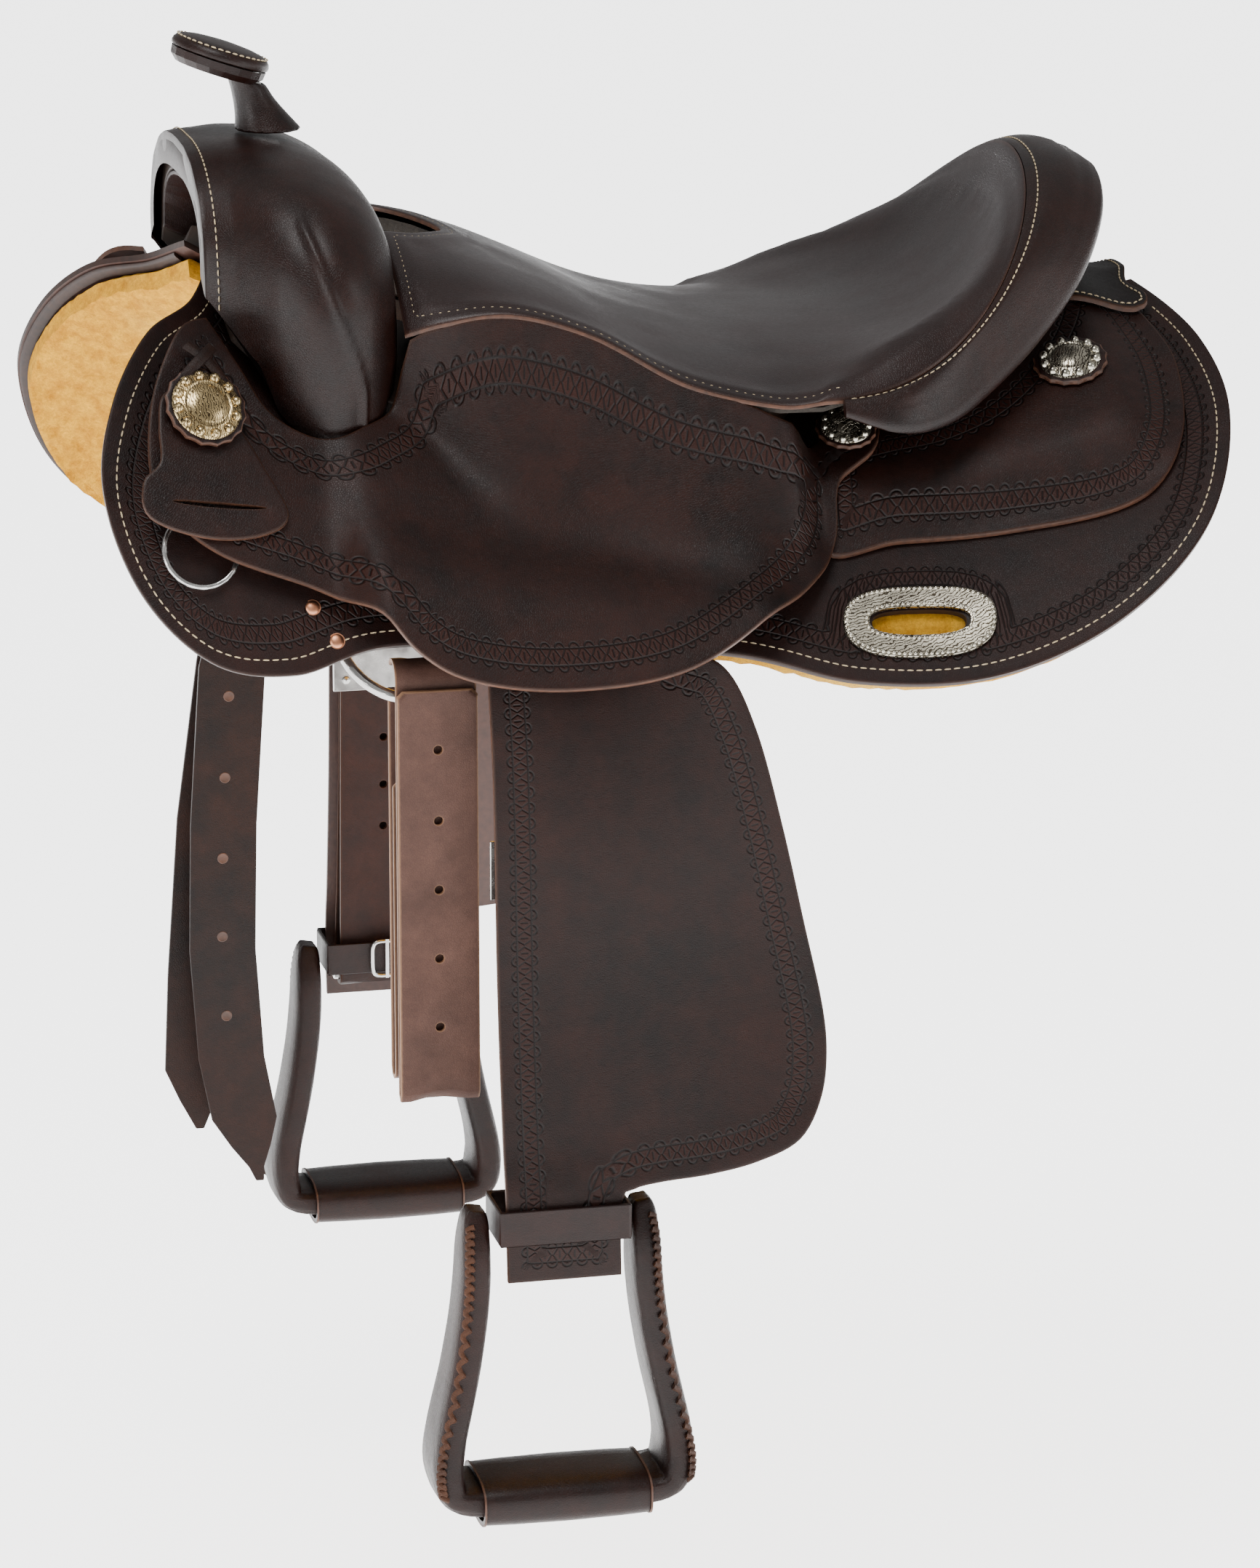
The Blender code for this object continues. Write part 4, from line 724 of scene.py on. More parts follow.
def along(pts, v):
    """A table of (v, value) read with a smooth curve through its points."""
    n = len(pts)
    if v <= pts[0][0]:
        return pts[0][1]
    for i in range(n - 1):
        if v <= pts[i + 1][0]:
            break
    else:
        return pts[-1][1]
    (x0, y0), (x1, y1) = pts[i], pts[i + 1]
    ma = (y1 - pts[i - 1][1]) / (x1 - pts[i - 1][0]) if i else (y1 - y0) / (x1 - x0)
    mb = (pts[i + 2][1] - y0) / (pts[i + 2][0] - x0) if i + 2 < n else (y1 - y0) / (x1 - x0)
    h = x1 - x0
    u = (v - x0) / h
    return ((1 + 2 * u) * (1 - u) ** 2 * y0 + u * (1 - u) ** 2 * h * ma
            + u * u * (3 - 2 * u) * y1 + u * u * (u - 1) * h * mb)


SWELL = [(-0.3125, 0.086, 0.0760), (-0.3125, 0.098, 0.0900), (-0.3095, 0.101, 0.0925),
         (-0.295, 0.117, 0.0935), (-0.275, 0.140, 0.0930), (-0.250, 0.152, 0.0885), (-0.229, 0.145, 0.0790),
         (-0.214, 0.128, 0.0660), (-0.208, 0.112, 0.0540), (-0.210, 0.092, 0.0470)]
FORK_Z = 0.065


def bed(x, y, off=JOCKEY_LIFT - 0.0007, flat=0.035):
    """Height of the bars' tops, spanned flat over the channel between them."""
    y = max(abs(y), flat)
    b0, rad, cy, cz = section(x)
    return cz + math.sqrt(max(1e-9, (rad + off) ** 2 - (y - cy) ** 2))


def arch_ring(stations, u, drop=0.0):
    """One section over the fork; u 0 near foot, 1 off foot; drop lets the skin hang past the bars."""
    pts = []
    for x, w, h in stations:
        off = JOCKEY_LIFT + 0.0006 - drop * smooth(0.126, 0.140, w)
        floor_z = bed(x, w, off)
        spring = max(FORK_Z, floor_z + 0.004)
        if 0.12 < u < 0.88:
            c, s = squarish(PI * (u - 0.12) / 0.76, 0.76, 0.80)
            pts.append((x, -w * c, spring + (FORK_Z + h - spring) * s))
        else:
            k = min(u, 1 - u) / 0.12
            wf = w - 0.010 * (1 - k) ** 2 * smooth(0.005, 0.045, FORK_Z - floor_z)
            z = bed(x, wf, off)
            pts.append((x, math.copysign(wf, u - 0.5), z + (spring - z) * k))
    return pts


def finer(stations, steps):
    """The same stations with smooth ones between."""
    out = []
    for i in range(len(stations) - 1):
        for j in range(steps):
            out.append(tuple(along([(k, s[d]) for k, s in enumerate(stations)], i + j / steps)
                             for d in range(3)))
    return out + [stations[-1]]


def dart(x, y, z):
    """Height of the dart's fold, which falls from the swell's shoulder to its foot, a little to the rear."""
    line_x = -0.262 + 0.030 * min(1.0, max(0.0, (0.125 - z) / 0.09))
    reach = (1 - smooth(0.118, 0.136, z)) * smooth(0.095, 0.120, abs(y))
    ridge, flank = (math.exp(-((x - line_x) / wide) ** 2) for wide in (0.0022, 0.009))
    return (0.0024 * ridge - 0.0007 * flank) * reach


SKIN_DROP = 0.0150
skin_out = finer(SWELL, 14)
arch_steps = [0.12 * i / 10 for i in range(10)] + [0.12 + 0.76 * i / 96 for i in range(97)]
arch_steps += [0.88 + 0.12 * i / 10 for i in range(1, 11)]
grid = np.array([arch_ring(skin_out, u, SKIN_DROP) for u in arch_steps])
du, dv = np.gradient(grid, axis=0), np.gradient(grid, axis=1)
normal = np.cross(du, dv)
normal /= np.maximum(np.linalg.norm(normal, axis=2), 1e-9)[..., None]
if normal[len(arch_steps) // 2, 60, 2] < 0:
    normal = -normal
for i, j in np.ndindex(grid.shape[:2]):
    p = Vector(grid[i, j])
    lump = noise.noise(p * 22) * 0.0007 + noise.noise(p * 60) * 0.0003
    grid[i, j] += normal[i, j] * (dart(*grid[i, j]) + lump)
inner_skin = [(x, w - 0.003 if k else w - 0.001, h - 0.003) for k, (x, w, h) in enumerate(SWELL)]
inside_grid = np.array([arch_ring(inner_skin, u, SKIN_DROP) for u in arch_steps])
rows = [[*map(tuple, grid[i]), *map(tuple, inside_grid[i][::-1])] for i in range(len(arch_steps))]
swell_hide = leather("swell_hide", (0.0038, 0.0012, 0.0008), (0.0180, 0.0044, 0.0023), 0.36, 0.8,
                     clear=0.14)
dress(mesh_of("swell_hide", *loft(rows), 65), "swell_hide", swell_hide, "saddle",
      "swell_cover")
front_seam = [(Vector(grid[i, 33]) + Vector(normal[i, 33]) * 0.0004, Vector(normal[i, 33]))
              for i in range(4, len(arch_steps) - 4)]
sew("swell_rim_stitching", [front_seam], "saddle", 0.0048, 0.0035)
keep("gullet_lining", plain_hide, 0.0006)
keep("horn_core", stainless)

CAP_TILT = math.radians(18.5)
CAP_AXIS = Vector((math.sin(CAP_TILT), 0, math.cos(CAP_TILT)))
CAP = Vector((-0.2865, 0, 0.2000))


def turned(name, profile, centre, axis, mats, body, replaced=(), steps=72, sharp=45):
    """A round piece turned about its axis; profile of (radius, height)."""
    q = Vector(axis).to_track_quat("Z", "X")
    verts, faces, ids = [], [], []
    for r, h in profile:
        if r < 1e-6:
            ids.append([len(verts)] * steps)
            verts.append(q @ Vector((0, 0, h)) + Vector(centre))
        else:
            ids.append(list(range(len(verts), len(verts) + steps)))
            verts += [q @ Vector((r * math.cos(2 * PI * k / steps), r * math.sin(2 * PI * k / steps), h))
                      + Vector(centre)
                      for k in range(steps)]
    for a, b in zip(ids, ids[1:]):
        for k in range(steps):
            f = [a[k], a[(k + 1) % steps], b[(k + 1) % steps], b[k]]
            f = [v for i, v in enumerate(f) if v not in f[:i]]
            if len(f) > 2:
                faces.append(tuple(f))
    return dress(mesh_of(name, verts, faces, sharp), name, mats, body, replaced)


horn_hide = leather("horn_hide", (0.0042, 0.0014, 0.0009), (0.0190, 0.0050, 0.0028), 0.35, 0.8, clear=0.16)
CAP_EDGE = [(0, 0.0102), (0.010, 0.0099), (0.0190, 0.0090), (0.0235, 0.0080), (0.0264, 0.0066),
            (0.0279, 0.0048),
            (0.0284, 0.0030), (0.0281, 0.0014), (0.0272, 0.0008), (0.0256, 0.0008), (0.0232, 0.0040),
            (0, 0.0054)]
turned("horn_cap_upper", CAP_EDGE, CAP, CAP_AXIS, horn_hide, "saddle", "horn_cap_top")
keep("horn_cap_bottom", plain_hide, 0.0006)
keep("horn_neck_wrap", horn_hide, 0, 2)
q = CAP_AXIS.to_track_quat("Z", "X")
sew("horn_stitching", [[(q @ Vector((0.0262 * math.cos(w), 0.0262 * math.sin(w), 0.0072)) + CAP,
                         q @ Vector((0.55 * math.cos(w), 0.55 * math.sin(w), 0.83)))
                        for w in (2 * PI * k / 80 for k in range(81))]], "saddle", 0.0042, 0.0030, 0.0010)


# ---- seat --------------------------------------------------------------------------------------
# Smooth soft hide over foam, glued down in the middle and sewn to the jockeys round its edge. It is
# cut back in front to leave a hole for the hand behind the fork.
tan_edge = striped_edge("raw_tan_edge", (0.030, 0.011, 0.005), 3.0)
SEAM = [(-0.207, 0.130, 0.064), (-0.190, 0.137, 0.070), (-0.150, 0.143, 0.075), (-0.104, 0.150, 0.062),
        (-0.055, 0.165, 0.036), (-0.004, 0.175, 0.024), (0.020, 0.178, 0.026)]
SEAM_Y, SEAM_Z = [(p[0], p[1]) for p in SEAM], [(p[0], p[2]) for p in SEAM]
KEEL = [(-0.210, 0.114), (-0.160, 0.099), (-0.110, 0.079), (-0.070, 0.061), (-0.020, 0.049),
        (0.030, 0.046), (0.080, 0.048), (0.180, 0.060)]
SEAM_T = [(p[0], unback(*p)[0]) for p in SEAM]
SEAM_O = [(p[0], unback(*p)[1]) for p in SEAM]
CANTLE_X0, CANTLE_LEN, CANTLE_HALF = 0.020, 0.154, 0.178


def rim_r(x, y):
    if x <= CANTLE_X0:
        return abs(y) / along(SEAM_Y, x)
    return (((x - CANTLE_X0) / CANTLE_LEN) ** 2.2 + (abs(y) / CANTLE_HALF) ** 2.2) ** (1 / 2.2)


def cantle_seam(s):
    """The seam behind the seat, s from -1 near to 1 off."""
    a = (1 - abs(s)) * PI / 2
    c = max(0.0, math.cos(a)) ** (2 / 2.2)
    return (CANTLE_X0 + CANTLE_LEN * math.sin(a) ** (2 / 2.2), math.copysign(CANTLE_HALF * c, s),
            0.026 + 0.111 * (1 - c ** 1.9))


def seat_top(x, y):
    r = min(1.0, rim_r(x, y))
    if x <= CANTLE_X0:
        return along(KEEL, x) - (along(KEEL, x) - along(SEAM_Z, x)) * r ** 2.4
    a = min(1.0, abs(y) / CANTLE_HALF)
    low = along(KEEL, x) - (along(KEEL, CANTLE_X0) - 0.026) * a ** 2.4
    wall = 0.026 + 0.111 * (1 - a ** 1.9)
    puff = 0.014 * math.exp(-((r - 0.90) / 0.09) ** 2) * a * smooth(0.03, 0.09, x) * (1 - r ** 8)
    return low + (wall - low) * smooth(0, 0.05, x - CANTLE_X0) ** (1 - r ** 4) * r ** 4.5 + puff


near_edge = [(p[0], -p[1]) for p in SEAM]
near_edge[0] = (*near_edge[0], 1)
near_edge += [cantle_seam(i / 12 - 1)[:2] for i in range(1, 12)] + [(CANTLE_X0 + CANTLE_LEN, 0)]
seat_outline = near_edge + [(p[0], -p[1], *p[2:]) for p in reversed(near_edge) if p[1]]
seat_outline += [(-0.205, 0.050, 1), (-0.182, 0.040), (-0.161, 0), (-0.182, -0.040), (-0.205, -0.050, 1)]
seat_flat = cut_out(seat_outline, (), 0.0075, 0.0045, (0.0008, 0.0018, 0.0035, 0.0060, 0.0090, 0.0130))


def on_seat(x, y, up):
    e = 0.0015
    n = Vector(((seat_top(x - e, y) - seat_top(x + e, y)) / (2 * e),
                (seat_top(x, y - e) - seat_top(x, y + e)) / (2 * e), 1))
    n = n.normalized() if rim_r(x, y) < 0.985 else (n.normalized() + Vector((0, 0, 1))).normalized()
    p = Vector((x, y, seat_top(x, y)))
    soft = noise.noise(p * 14) * 0.0011 + noise.noise(p * 34) * 0.0004
    d = min(1.0, from_edge(np.array([[x, y]]), seat_flat["loop"])[0][0] / 0.018)
    seam_dip = -0.0009 * math.exp(-((d * 0.018 - 0.0068) / 0.0016) ** 2)
    swell = 0.0013 * math.sin(PI * min(1.0, d)) if d < 1 else 0.0
    return p + n * ((up - 0.0026) + soft * d + (seam_dip + swell) * (1 if up > 0 else 0))


seat_hide = leather("seat_hide", (0.0070, 0.0026, 0.0021), (0.0165, 0.0058, 0.0045), 0.32, 0.75, sheen=0.05,
                    cut=(0.030, 0.011, 0.006), clear=0.20)
seat = lay("seat_cover", seat_flat, on_seat, 0.0026, [seat_hide, tan_edge, flesh_side], "saddle",
           "seat_leather", 0.0006)
sew("seat_stitching", seam_in(seat_flat, on_seat, 0.0066, 0.0024, lambda x, y: x < 0.03), "saddle", 0.0048,
    0.0035)


# ---- cantle ------------------------------------------------------------------------------------
# The roll is a strip of padded leather sewn along the top of the cantle, standing out behind the
# seat; below it a plain leather back covers the wooden cantle.
ROLL = [(0.020, 0.184, 0.025), (0.059, 0.185, 0.017), (0.094, 0.171, 0.020), (0.125, 0.150, 0.034),
        (0.157, 0.125, 0.054), (0.187, 0.100, 0.081), (0.208, 0.070, 0.109), (0.216, 0.035, 0.126),
        (0.213, 0.000, 0.131)]


def roll_edge(s):
    k = (1 - abs(s)) * (len(ROLL) - 1)
    x, y, z = (along([(i, p[d]) for i, p in enumerate(ROLL)], k) for d in range(3))
    return Vector((x, math.copysign(y, s), z))


SEAM_DIPS = ((0.0012, 0.14), (0.0010, 0.80))


def roll_ring(s):
    """Section of the roll at s, from the seat's seam over the top, round the tip and back below."""
    p, q = Vector(cantle_seam(s)), roll_edge(s)
    out = q - p
    wide = min(1.0, out.length / 0.02)
    n = Vector((0.25 * out.x, 0.25 * out.y, 1)).normalized()
    p = p + out.normalized() * 0.0008
    th = 0.003 + 0.009 * wide
    pad = 0.0052 * wide
    bump = noise.noise(p * 30) * 0.0006
    pts = [p - n * 0.0004]
    for k in range(1, 13):
        u = k / 13
        valley = -sum(deep * math.exp(-((u - seam) / 0.05) ** 2) for deep, seam in SEAM_DIPS)
        pts.append(p.lerp(q, u) + n * (pad * math.sin(PI * u) ** 0.8 + (valley + bump) * wide))
    for k in range(0, 7):
        a = PI / 2 - PI * k / 6
        pts.append(q - n * th * 0.45 + n * th * 0.42 * math.sin(a)
                   + out.normalized() * 0.0030 * wide * math.cos(a))
    pts += [p.lerp(q, 0.8) - n * th, p.lerp(q, 0.4) - n * th, p - n * th * 0.9]
    return pts


roll_steps = [-0.97 + 1.94 * i / 150 for i in range(151)]
roll_rings = [roll_ring(s) for s in roll_steps]
roll_hide = leather("roll_hide", (0.0040, 0.0013, 0.0009), (0.0175, 0.0046, 0.0026), 0.34, 0.9, clear=0.20)
dress(mesh_of("cantle_roll_hide", *loft(roll_rings), 70), "cantle_roll_hide", roll_hide, "saddle",
      "cantle_roll")


def along_roll(k, lift):
    run = []
    for i in range(1, len(roll_rings) - 1):
        p = roll_rings[i][k]
        across = roll_rings[i][k + 1] - roll_rings[i][k - 1]
        n = across.cross(roll_rings[i + 1][k] - roll_rings[i - 1][k]).normalized()
        n = n if n.z > 0 else -n
        run.append((p + n * lift, n))
    return run


sew("cantle_seam_stitching", [along_roll(2, 0.0004)], "saddle", 0.0046, 0.0034)
keep("cantle_back", plain_hide, 0, 2)


# ---- jockeys -----------------------------------------------------------------------------------
# Stamped panels below the seat and behind the cantle. They lie over the bars and the stirrup
# leathers, and the seat jockey's front lobe carries the front concho.
BACK_JOCKEY = [(0.024, 0.116, 1), (0.021, 0.178), (0.065, 0.179), (0.130, 0.187), (0.188, 0.193),
               (0.216, 0.184), (0.235, 0.155), (0.244, 0.108), (0.242, 0.070), (0.232, 0.003, 1),
               (0.1900, 0.003, 1), (0.186, 0.033), (0.168, 0.066), (0.134, 0.096), (0.100, 0.108),
               (0.064, 0.110)]
SEAT_JOCKEY = [(-0.3145, 0.106, 1), (-0.331, 0.122), (-0.350, 0.165), (-0.357, 0.208), (-0.350, 0.229),
               (-0.323, 0.240), (-0.273, 0.239), (-0.243, 0.246), (-0.222, 0.265), (-0.194, 0.274),
               (-0.139, 0.272), (-0.072, 0.258), (-0.015, 0.224), (0.014, 0.198), (0.026, 0.179),
               (0.029, 0.168), (0.030, 0.158), (0.034, 0.148), (0.045, 0.140), (0.056, 0.132),
               (0.063, 0.120),
               (0.062, 0.107), (0.050, 0.098)]
NOTCH = [(-0.2085, 0.107), (-0.2165, 0.123), (-0.2305, 0.136), (-0.2475, 0.1485), (-0.268, 0.1515),
         (-0.287, 0.1460), (-0.300, 0.129)]
seam_run = [(p[0], unback(*p)[0] + 0.0002) for p in SEAM[:-1]]
SEAT_JOCKEY += [(0.012, unback(0.012, 0.178, 0.025)[0] - 0.002, 1)] + seam_run[:0:-1] + [
    (seam_run[0][0] + 0.003, seam_run[0][1] + 0.001, 1)] + NOTCH


def rear_lift(x, t):
    """Underside of the back jockey: over the bars, down to the skirt beyond them."""
    over_bars = (1 - smooth(0.144, 0.184, t)) * (1 - smooth(0.196, 0.240, x))
    return BACK_LIFT + (BAR_OUT + 0.0014 - BACK_LIFT) * over_bars


def jockey_lift(x, t):
    """Underside of the seat jockey: over the bars and leathers, up the wall to the seat's seam."""
    lobe = LOBE_LIFT + (JOCKEY_LIFT - LOBE_LIFT) * (1 - smooth(0.125, 0.165, t))
    mid = JOCKEY_LIFT + 0.0120 * smooth(0.180, 0.235, t)
    h = lobe + (mid - lobe) * smooth(-0.262, -0.235, x)
    h = h + (rear_lift(x, t) + LEATHER + 0.0015 - h) * smooth(-0.030, 0.024, x)
    xs = max(-0.206, min(0.018, x))
    ts, top = along(SEAM_T, xs), along(SEAM_O, xs) - 0.0048 - 0.0115 * smooth(-0.030, 0.010, x)
    reach = 0.030 + 0.060 * smooth(-0.207, -0.150, x)
    fade = max(0.0, 1 - max(0.0, t - ts) / reach) ** 2 * (1 - smooth(0.000, 0.024, x))
    if x < -0.206:
        fade *= 1 - smooth(0, 0.014, -0.206 - x)
    return h + (top - h) * fade


jockey_hide = leather("jockey_hide", (0.0034, 0.0010, 0.0006), (0.0210, 0.0046, 0.0021), 0.43,
                      border=(0.0165, 0.0044, 0.0086),
                      cut=(0.034, 0.012, 0.005), clear=0.04)
jockey_flat, rear_flat = (cut_out(outline, (), 0.0105, rows=(*EDGE_ROWS, 0.026))
                          for outline in (SEAT_JOCKEY, BACK_JOCKEY))
for side, tag in SIDES:
    def on_jockey(x, t, up):
        p = back(x, t, jockey_lift(x, t) + up, side)
        return p + Vector((0, side, 0.4)) * (noise.noise(p * 16) * 0.0007)

    def on_rear(x, t, up):
        return back(x, t, rear_lift(x, t) + up, side)
    lay("back_jockey_hide_" + tag, rear_flat, on_rear, LEATHER, [jockey_hide, tan_edge, flesh_side],
        "saddle",
        "back_jockey_" + tag)
    lay("seat_jockey_hide_" + tag, jockey_flat, on_jockey, LEATHER, [jockey_hide, tan_edge, flesh_side],
        "saddle",
        "seat_jockey_" + tag)

# A plate of leather is sewn over the joint between the two back jockeys.
PLATE = [(0.196, -0.054), (0.208, -0.030), (0.212, 0.000), (0.208, 0.030), (0.196, 0.054), (0.236, 0.060),
         (0.2445, 0.050), (0.2390, 0.030), (0.2435, 0.010), (0.2435, -0.010), (0.2390, -0.030),
         (0.2445, -0.050), (0.236, -0.060)]


def on_rump(x, y, up):
    t = max(0.004, abs(y))
    for _ in range(6):
        p = back(x, t, rear_lift(x, t) + LEATHER + 0.0023 + up, OFF)
        t += (max(abs(y), 0.012) - p[1]) * 0.95
    return Vector((x, y, p[2]))


plate_hide = leather("rear_plate_hide", (0.003, 0.0016, 0.0015), (0.009, 0.0042, 0.0036), 0.45,
                     cut=(0.05, 0.02, 0.009))
cover_flat = cut_out(PLATE, (), 0.006, 0.003, (0.0006, 0.0014, 0.003))
lay("rear_plate_hide", cover_flat, on_rump, 0.0032, [plate_hide, tan_edge, flesh_side], "saddle",
    "rear_plate")
sew("rear_plate_stitching", seam_in(cover_flat, on_rump, 0.0034, 0.0033), "saddle", 0.0040, 0.0029, 0.0010)


# ---- latigo keepers ----------------------------------------------------------------------------
# A shaped leather with one slit, laced under each front concho, that holds the latigo's tail.
keeper_hide = leather("edged_hide", ESPRESSO, CHESTNUT, cut=(0.034, 0.0125, 0.0055), clear=0.12)
KEEPER = [(-0.324, 0.150), (-0.345, 0.166), (-0.350, 0.186), (-0.3515, 0.206), (-0.362, 0.222),
          (-0.360, 0.239), (-0.330, 0.236), (-0.300, 0.223), (-0.283, 0.206), (-0.293, 0.184),
          (-0.306, 0.164)]
slit = [(-0.321 + 0.026 * math.cos(2 * PI * i / 28), 0.2155 - 0.35 * 0.026 * math.cos(2 * PI * i / 28)
         + 0.0014 * math.sin(2 * PI * i / 28)) for i in range(28)]
keeper_flat = cut_out(KEEPER, [slit], 0.007, 0.003, (0.0006, 0.0014, 0.0028, 0.006))
for side, tag in SIDES:
    def on_keeper(x, t, up):
        return back(x, t, jockey_lift(x, t) + LEATHER + 0.0012 + up, side)
    lay("keeper_hide_" + tag, keeper_flat, on_keeper, 0.0032, [keeper_hide, tan_edge, flesh_side], "saddle",
        "latigo_keeper_" + tag)


# ---- conchos -----------------------------------------------------------------------------------
# Domed discs of engraved silver with a ring of berries, each on a pinked leather rosette. A lace
# runs through the front one and is crossed above it.
CONCHOS = [("front", -0.324, 0.166, 0.0200, 0.0235), ("mid", 0.0440, 0.1165, 0.0145, 0.0175),
           ("rear", 0.1820, 0.0965, 0.0175, 0.0215)]
DOME = [(0, 0.0074), (0.15, 0.0074), (0.3, 0.0071), (0.45, 0.0064), (0.56, 0.0054), (0.60, 0.0048),
        (0.64, 0.0049), (0.68, 0.0054), (0.72, 0.0052), (0.76, 0.0044), (0.93, 0.0036), (0.98, 0.0028),
        (1, 0.0022)]
LIFTS = {"front": lambda x, t: jockey_lift(x, t) + LEATHER + 0.0056,
         "mid": lambda x, t: jockey_lift(x, t) + LEATHER, "rear": lambda x, t: rear_lift(x, t) + LEATHER}


def perch(x, t, r, lift, side):
    """Flat seat for a disc of radius r, resting on the highest points of the sheet below it."""
    rim = []
    for k in range(12):
        u, v = x + r * math.cos(PI * k / 6), t + r * math.sin(PI * k / 6)
        rim.append(back(u, v, lift(u, v), side))
    c = sum(rim, Vector()) / 12
    n = Vector()
    for k in range(12):
        n += (rim[k] - c).cross(rim[(k + 1) % 12] - c)
    n = n.normalized() * (1 if n.y * side > 0 else -1)
    mid = back(x, t, lift(x, t), side)
    return c + n * (max((q - c).dot(n) for q in rim + [mid]) + 0.0014), n


for side, tag in SIDES:
    for spot, x, t, r, rosette in CONCHOS:
        p, n = perch(x, t, rosette, LIFTS[spot], side)
        q = n.to_track_quat("Z", "X")
        rows, steps = [], 144
        for share, h in ((0.3, 0.0), (1.0, 0.0), (1.0, 0.0016), (0.965, 0.0022), (0.90, 0.0023),
                         (0.3, 0.0023)):
            ring = []
            for w in (2 * PI * k / steps for k in range(steps)):
                wide = rosette * share * (1 - 0.045 * abs(math.sin(8 * w)) * (share > 0.5))
                ring.append(p + q @ Vector((wide * math.cos(w), wide * math.sin(w), h)))
            rows.append(ring)
        base = mesh_of("rosette", *loft(rows), 50)
        dress(base, "rosette_" + spot + "_" + tag, [plain_hide, tan_edge], "saddle")
        band = np.zeros(len(base.data.polygons), np.int32)
        band[steps:3 * steps] = 1
        base.data.polygons.foreach_set("material_index", band)
        face, bead = (warm_silver, warm_silver) if spot == "front" else (silver, bead_silver)
        turned(f"concho_{spot}_dome_{tag}", [(r * share, h) for share, h in DOME], p, n, face, "saddle",
               f"concho_{spot}_{tag}", 96)
        count = 11 if spot == "mid" else 12
        berries = [(p + q @ Vector((r * 0.86 * math.cos(w), r * 0.86 * math.sin(w), 0.0036)), n)
                   for w in (2 * PI * k / count for k in range(count))]
        beads(f"concho_{spot}_berries_{tag}", berries, r * 0.165, "saddle", bead)


# ---- rigging -----------------------------------------------------------------------------------
# Welded stainless rings, each caught in a folded strap that is riveted between skirt and bar; the
# small ones in front take a breast collar.
for _, tag in SIDES:
    keep("rigging_ring_" + tag, stainless, 0, 2)
    keep("breast_ring_" + tag, stainless, 0, 2)
    keep("rigging_strap_" + tag, plain_hide, 0.0004)
    keep("breast_ring_tab_" + tag, plain_hide, 0.0003)


# ---- rivets and laces --------------------------------------------------------------------------
# Two copper rivets hold the rigging strap through each skirt, their heads set by hammer. Soft dark
# laces go through the front conchos and are crossed above them.
HEAD = [(0, 0.0016), (0.35, 0.0015), (0.62, 0.0011), (0.80, 0.0006), (0.86, 0.0002), (0.98, 0.0002),
        (1, -0.0006), (0, -0.0006)]


def rivet(name, p, n, body, r, mat):
    return turned(name, [(r * share, h) for share, h in HEAD], p, n, mat, body, (), 40)


lace_hide = leather("lace_hide", (0.0060, 0.0024, 0.0016), (0.030, 0.0105, 0.0055), 0.50)


def strip(name, pts, ups, wide, thick, mats, body, replaced=()):
    """A flat lace or strap along points, ups its outward normals."""
    rings = []
    for i, (p, n) in enumerate(zip(pts, ups)):
        a = (pts[min(i + 1, len(pts) - 1)] - pts[max(i - 1, 0)]).normalized()
        b = n.cross(a).normalized()
        n = a.cross(b)
        w = wide(i / (len(pts) - 1)) if callable(wide) else wide
        rings.append([p - b * w / 2, p - b * w * 0.44 + n * thick / 2, p + b * w * 0.44 + n * thick / 2,
                      p + b * w / 2,
                      p + b * w * 0.44 - n * thick / 2, p - b * w * 0.44 - n * thick / 2])
    return dress(mesh_of(name, *loft(rings), 70), name, mats, body, replaced)


for side, tag in SIDES:
    for k, (x, t) in enumerate(((-0.2726, 0.2458), (-0.2611, 0.2602))):
        p = back(x, t, SKIRT_OUT, side)
        rivet(f"rivet_{k + 1}_{tag}", p, (back(x, t, SKIRT_OUT + 0.01, side) - p).normalized(), "saddle",
              0.0046, copper)
    spot, x, t, _, rosette = CONCHOS[0]
    p, n = perch(x, t, rosette, LIFTS[spot], side)
    up_hill = (back(x, t - 0.016, 0.03, side) - back(x, t + 0.016, 0.03, side)).normalized()
    across = n.cross(up_hill).normalized()
    for k, lean in enumerate((-1, 1)):
        pts = []
        for u in (i / 12 for i in range(13)):
            rise = 0.0030 + (0.0030 + 0.0012 * k) * math.sin(PI * u)
            pts.append(p + n * rise + across * lean * 0.011 * (1 - 1.7 * u) + up_hill * (0.017 + 0.020 * u))
        strip(f"lace_{'ab'[k]}_{tag}", pts, [n] * 13, 0.0062, 0.0016, lace_hide, "saddle")


# ---- latigo ------------------------------------------------------------------------------------
# A long soft strap of oiled latigo leather, near side only. It hangs doubled over the rigging ring
# with its tail folded up outside, and is punched down its middle for the cinch's tongue.
def fold(path, step=0.004):
    """Even points down a (y, z) path."""
    path = [Vector(p) for p in path]
    out = []
    for a, b in zip(path, path[1:]):
        k = max(1, round((b - a).length / step))
        out += [a.lerp(b, i / k) for i in range(k)]
    return out + [path[-1]]


def run_of(path):
    pts = fold(path)
    far = [0.0]
    for a, b in zip(pts, pts[1:]):
        far.append(far[-1] + (b - a).length)
    return np.array([tuple(p) for p in pts]), np.array(far)


def bend_line(centre, radius, a0, a1, k=12):
    return [(centre[0] + radius * math.cos(math.radians(a0 + (a1 - a0) * i / k)),
             centre[1] + radius * math.sin(math.radians(a0 + (a1 - a0) * i / k))) for i in range(k + 1)]


HOLE_R = 0.0026


